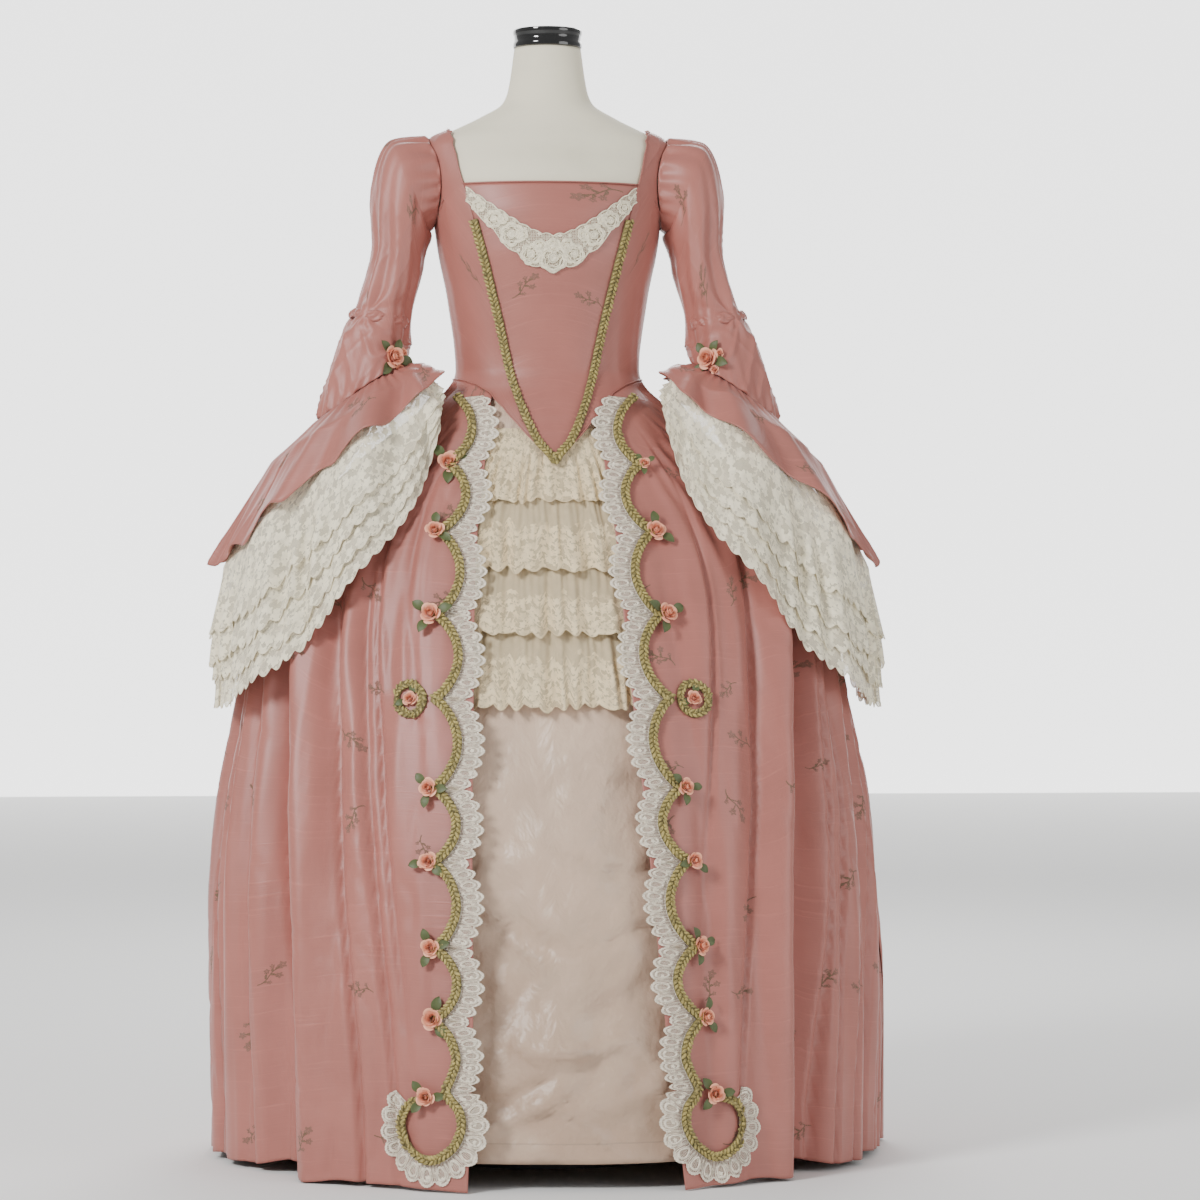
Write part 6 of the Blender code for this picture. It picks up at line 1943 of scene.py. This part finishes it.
def make_stage(settings):
    """A pale floor and backdrop, soft lights, and the camera at the photograph's angle."""
    work = bmesh.new()
    bmesh.ops.create_grid(work, x_segments=1, y_segments=1, size=14.0)
    mesh = bpy.data.meshes.new("floor")
    work.to_mesh(mesh)
    work.free()
    floor = bpy.data.objects.new("floor", mesh)
    link(floor)
    made, _, shader = new_finish("pale_floor", 0.9)
    shader.inputs["Base Color"].default_value = (0.86, 0.86, 0.85, 1.0)
    mesh.materials.append(made)
    floor.location.z = -0.001
    sheet = bpy.data.meshes.new("backdrop")
    sheet.from_pydata([(-9, 10, -0.3), (9, 10, -0.3), (9, 10, 9), (-9, 10, 9)], [], [(0, 1, 2, 3)])
    backdrop = bpy.data.objects.new("backdrop", sheet)
    link(backdrop)
    lit, _, shader = new_finish("lit_backdrop", 0.9, Emission_Strength=settings.backdrop)
    shader.inputs["Base Color"].default_value = (0.9, 0.9, 0.9, 1.0)
    shader.inputs["Emission Color"].default_value = (1.0, 1.0, 1.0, 1.0)
    sheet.materials.append(lit)
    world = bpy.data.worlds.new("studio")
    world.use_nodes = True
    world.node_tree.nodes["Background"].inputs["Color"].default_value = (1.0, 1.0, 1.0, 1.0)
    world.node_tree.nodes["Background"].inputs["Strength"].default_value = settings.sky
    bpy.context.scene.world = world
    for name, place, target, wide, power in (
            ("key_light", (-2.9, -3.0, 3.0), (0.0, 0.0, 0.8), 1.1, settings.key_power),
            ("fill_light", (3.2, -2.6, 1.6), (0.0, 0.0, 0.8), 2.4, settings.key_power * 0.26),
            ("back_light", (0.6, 3.2, 3.2), (0.0, 0.0, 0.8), 2.4, settings.key_power * 0.45)):
        light = bpy.data.lights.new(name, "AREA")
        light.shape = "DISK"
        light.size = wide
        light.energy = power
        lamp = bpy.data.objects.new(name, light)
        lamp.location = place
        lamp.rotation_euler = (Vector(target) - Vector(place)).to_track_quat("-Z", "Y").to_euler()
        link(lamp)
    turn = math.radians(settings.camera_turn)
    far, aside = settings.camera_distance, settings.camera_aside
    camera = bpy.data.cameras.new("camera")
    camera.sensor_width = 36.0
    camera.lens = settings.lens
    holder = bpy.data.objects.new("camera", camera)
    holder.location = (aside * math.cos(turn) - far * math.sin(turn) + CENTRE[0],
                       -aside * math.sin(turn) - far * math.cos(turn) + CENTRE[1], settings.camera_height)
    upright = Matrix.Rotation(-turn, 3, "Z") @ Matrix.Rotation(math.pi / 2, 3, "X")
    holder.rotation_euler = (upright @ Matrix.Rotation(math.radians(settings.camera_roll), 3, "Z")).to_euler()
    link(holder)
    bpy.context.scene.camera = holder


def make_cords(settings):
    """The thread finishes that the laces' cords share."""
    ivory, cream, white = settings.ivory_colour, settings.cream_colour, settings.white_colour
    CORD_FINISH["ivory"] = thread_finish("ivory_cord", shade(ivory, 1.03), shade(ivory, 0.78), 0.8)
    CORD_FINISH["cream"] = thread_finish("cream_cord", shade(cream, 1.03), shade(cream, 0.80), 0.8)
    CORD_FINISH["white"] = thread_finish("white_cord", white, shade(white, 0.74), 0.8)


def swatch(name, description, default):
    """A colour property."""
    return bpy.props.FloatVectorProperty(name=name, description=description, default=default, min=0.0, max=1.0,
                                         size=3, subtype="COLOR")


def measure(name, description, default):
    """A size property, in metres."""
    return bpy.props.FloatProperty(name=name, description=description, default=default, min=0.0005, unit="LENGTH",
                                   precision=4)


class GownCloth(bpy.types.PropertyGroup):
    """The gown's cloths and the form's cover."""

    silk_colour: swatch("Silk", "Colour of the overskirt, bodice and sleeves", (0.390, 0.140, 0.112))
    satin_colour: swatch("Satin", "Colour of the petticoat", (0.64, 0.47, 0.35))
    silk_thickness: measure("Skirt silk", "Thickness of the overskirt's silk", 0.0016)
    sleeve_thickness: measure("Sleeve silk", "Thickness of the sleeves' silk", 0.0014)
    satin_thickness: measure("Satin thickness", "Thickness of the petticoat's satin", 0.0010)
    cover_colour: swatch("Form cover", "Colour of the dress form's cover", (0.86, 0.80, 0.62))


class GownTrim(bpy.types.PropertyGroup):
    """The gown's laces, braids and ribbons."""

    cream_colour: swatch("Flounce lace", "Colour of the petticoat's lace flounces", (0.82, 0.67, 0.42))
    ivory_colour: swatch("Sleeve lace", "Colour of the laces at the sleeves and the neckline", (0.90, 0.82, 0.62))
    white_colour: swatch("Edging lace", "Colour of the edging lace under the braid", (0.90, 0.81, 0.66))
    braid_colour: swatch("Braid", "Colour of the plaited braid", (0.470, 0.375, 0.115))
    braid_width: measure("Edge braid", "Width of the braid down the overskirt's edges", 0.0140)
    ring_width: measure("Ring braid", "Width of the braid of the two rings", 0.0125)
    point_width: measure("Stomacher braid", "Width of the braid along the stomacher", 0.0130)
    peach_colour: swatch("Ribbon", "Colour of the ribbon roses", (0.74, 0.33, 0.21))


class GownStage(bpy.types.PropertyGroup):
    """The light and the camera."""

    sky: bpy.props.FloatProperty(name="Sky light", description="Strength of the even light from all round",
                                 default=0.50, min=0.0)
    backdrop: bpy.props.FloatProperty(name="Backdrop", description="Brightness of the backdrop", default=2.2, min=0.0)
    key_power: bpy.props.FloatProperty(name="Key light", description="Power of the main lamp in watts",
                                       default=190.0, min=0.0)
    camera_turn: bpy.props.FloatProperty(name="Turn", description="How far the camera stands to the left, in degrees",
                                         default=4.5)
    camera_distance: bpy.props.FloatProperty(name="Distance", description="Camera to the form's middle",
                                             default=5.5, min=0.5, unit="LENGTH")
    camera_aside: bpy.props.FloatProperty(name="Aside", description="Camera's shift to the right",
                                          default=0.0735, unit="LENGTH")
    camera_height: bpy.props.FloatProperty(name="Height", description="Camera's height over the floor",
                                           default=0.769, unit="LENGTH")
    camera_roll: bpy.props.FloatProperty(name="Roll", description="Camera's roll in degrees", default=0.0)
    lens: bpy.props.FloatProperty(name="Lens", description="Focal length in millimetres", default=117.86, min=1.0)



class MakeCordFinishes(bpy.types.Operator):
    """Make the thread finishes that the laces share."""

    bl_idname = "gown.cord_finishes"
    bl_label = "Cords"

    def execute(self, context):
        make_cords(context.scene.gown_trim)
        return {"FINISHED"}


class MakeForm(bpy.types.Operator):
    """Make the form's body and its turned cap."""

    bl_idname = "gown.form"
    bl_label = "Dress form"

    def execute(self, context):
        make_form(context.scene.gown_cloth)
        return {"FINISHED"}


class MakeStand(bpy.types.Operator):
    """Make the pole and the round base."""

    bl_idname = "gown.stand"
    bl_label = "Stand"

    def execute(self, context):
        make_stand()
        return {"FINISHED"}


class MakePetticoat(bpy.types.Operator):
    """Make the satin petticoat."""

    bl_idname = "gown.petticoat"
    bl_label = "Petticoat"

    def execute(self, context):
        make_petticoat(context.scene.gown_cloth)
        return {"FINISHED"}


class MakeFlounces(bpy.types.Operator):
    """Make the petticoat's four lace flounces."""

    bl_idname = "gown.flounces"
    bl_label = "Lace flounces"

    def execute(self, context):
        make_flounces(context.scene.gown_trim)
        return {"FINISHED"}


class MakeOverskirt(bpy.types.Operator):
    """Make the overskirt's fronts and backs."""

    bl_idname = "gown.overskirt"
    bl_label = "Overskirt"

    def execute(self, context):
        make_overskirt(context.scene.gown_cloth)
        return {"FINISHED"}


class MakeBodice(bpy.types.Operator):
    """Make the stomacher, the bodice and its piping."""

    bl_idname = "gown.bodice"
    bl_label = "Bodice"

    def execute(self, context):
        make_bodice(context.scene.gown_cloth)
        return {"FINISHED"}


class MakeSleeves(bpy.types.Operator):
    """Make the sleeves, their tabs and their flounces."""

    bl_idname = "gown.sleeves"
    bl_label = "Sleeves"

    def execute(self, context):
        make_sleeves(context.scene.gown_cloth)
        return {"FINISHED"}


class MakeSleeveLace(bpy.types.Operator):
    """Make the lace tiers in the sleeves."""

    bl_idname = "gown.sleeve_lace"
    bl_label = "Sleeve lace"

    def execute(self, context):
        make_sleeve_lace(context.scene.gown_trim)
        return {"FINISHED"}


class MakeEdgingLace(bpy.types.Operator):
    """Make the lace lobes under the skirt's braid."""

    bl_idname = "gown.edging_lace"
    bl_label = "Edging lace"

    def execute(self, context):
        make_edging_lace(context.scene.gown_trim)
        return {"FINISHED"}


class MakeNecklineLace(bpy.types.Operator):
    """Make the corded lace at the neckline."""

    bl_idname = "gown.neckline_lace"
    bl_label = "Neckline lace"

    def execute(self, context):
        make_bodice_lace(context.scene.gown_trim)
        return {"FINISHED"}


class MakeBraids(bpy.types.Operator):
    """Make the plaited braids and rings."""

    bl_idname = "gown.braids"
    bl_label = "Braids"

    def execute(self, context):
        make_braids(context.scene.gown_trim)
        return {"FINISHED"}


class MakeRoses(bpy.types.Operator):
    """Make the ribbon roses and their leaves."""

    bl_idname = "gown.roses"
    bl_label = "Roses"

    def execute(self, context):
        make_roses(context.scene.gown_trim)
        return {"FINISHED"}


class MakeStage(bpy.types.Operator):
    """Make the floor, the lights and the camera."""

    bl_idname = "gown.stage"
    bl_label = "Stage"

    def execute(self, context):
        make_stage(context.scene.gown_stage)
        return {"FINISHED"}


MAKERS = (
    MakeCordFinishes, MakeForm, MakeStand, MakePetticoat, MakeFlounces, MakeOverskirt,
    MakeBodice, MakeSleeves, MakeSleeveLace, MakeEdgingLace, MakeNecklineLace, MakeBraids,
    MakeRoses, MakeStage,
)


class GownPanel(bpy.types.Panel):
    """The gown's values and its makers."""

    bl_idname = "GOWN_PT_panel"
    bl_label = "Ball gown"
    bl_space_type = "VIEW_3D"
    bl_region_type = "UI"
    bl_category = "Gown"

    def draw(self, context):
        for group in (context.scene.gown_cloth, context.scene.gown_trim, context.scene.gown_stage):
            column = self.layout.column(align=True)
            for word in type(group).__annotations__:
                column.prop(group, word)
        for maker in MAKERS:
            self.layout.operator(maker.bl_idname)


GROUPS = (("gown_cloth", GownCloth), ("gown_trim", GownTrim), ("gown_stage", GownStage))


def register():
    """Register the property groups, the operators and the panel."""
    for word, group in GROUPS:
        bpy.utils.register_class(group)
        setattr(bpy.types.Scene, word, bpy.props.PointerProperty(type=group))
    for item in (*MAKERS, GownPanel):
        bpy.utils.register_class(item)


def unregister():
    """Take the panel, the operators and the property groups away again."""
    for item in (GownPanel, *reversed(MAKERS)):
        bpy.utils.unregister_class(item)
    for word, group in reversed(GROUPS):
        delattr(bpy.types.Scene, word)
        bpy.utils.unregister_class(group)


def main():
    """Make every piece in order."""
    register()
    for maker in MAKERS:
        group, word = maker.bl_idname.split(".")
        getattr(getattr(bpy.ops, group), word)()


if __name__ == "__main__":
    main()
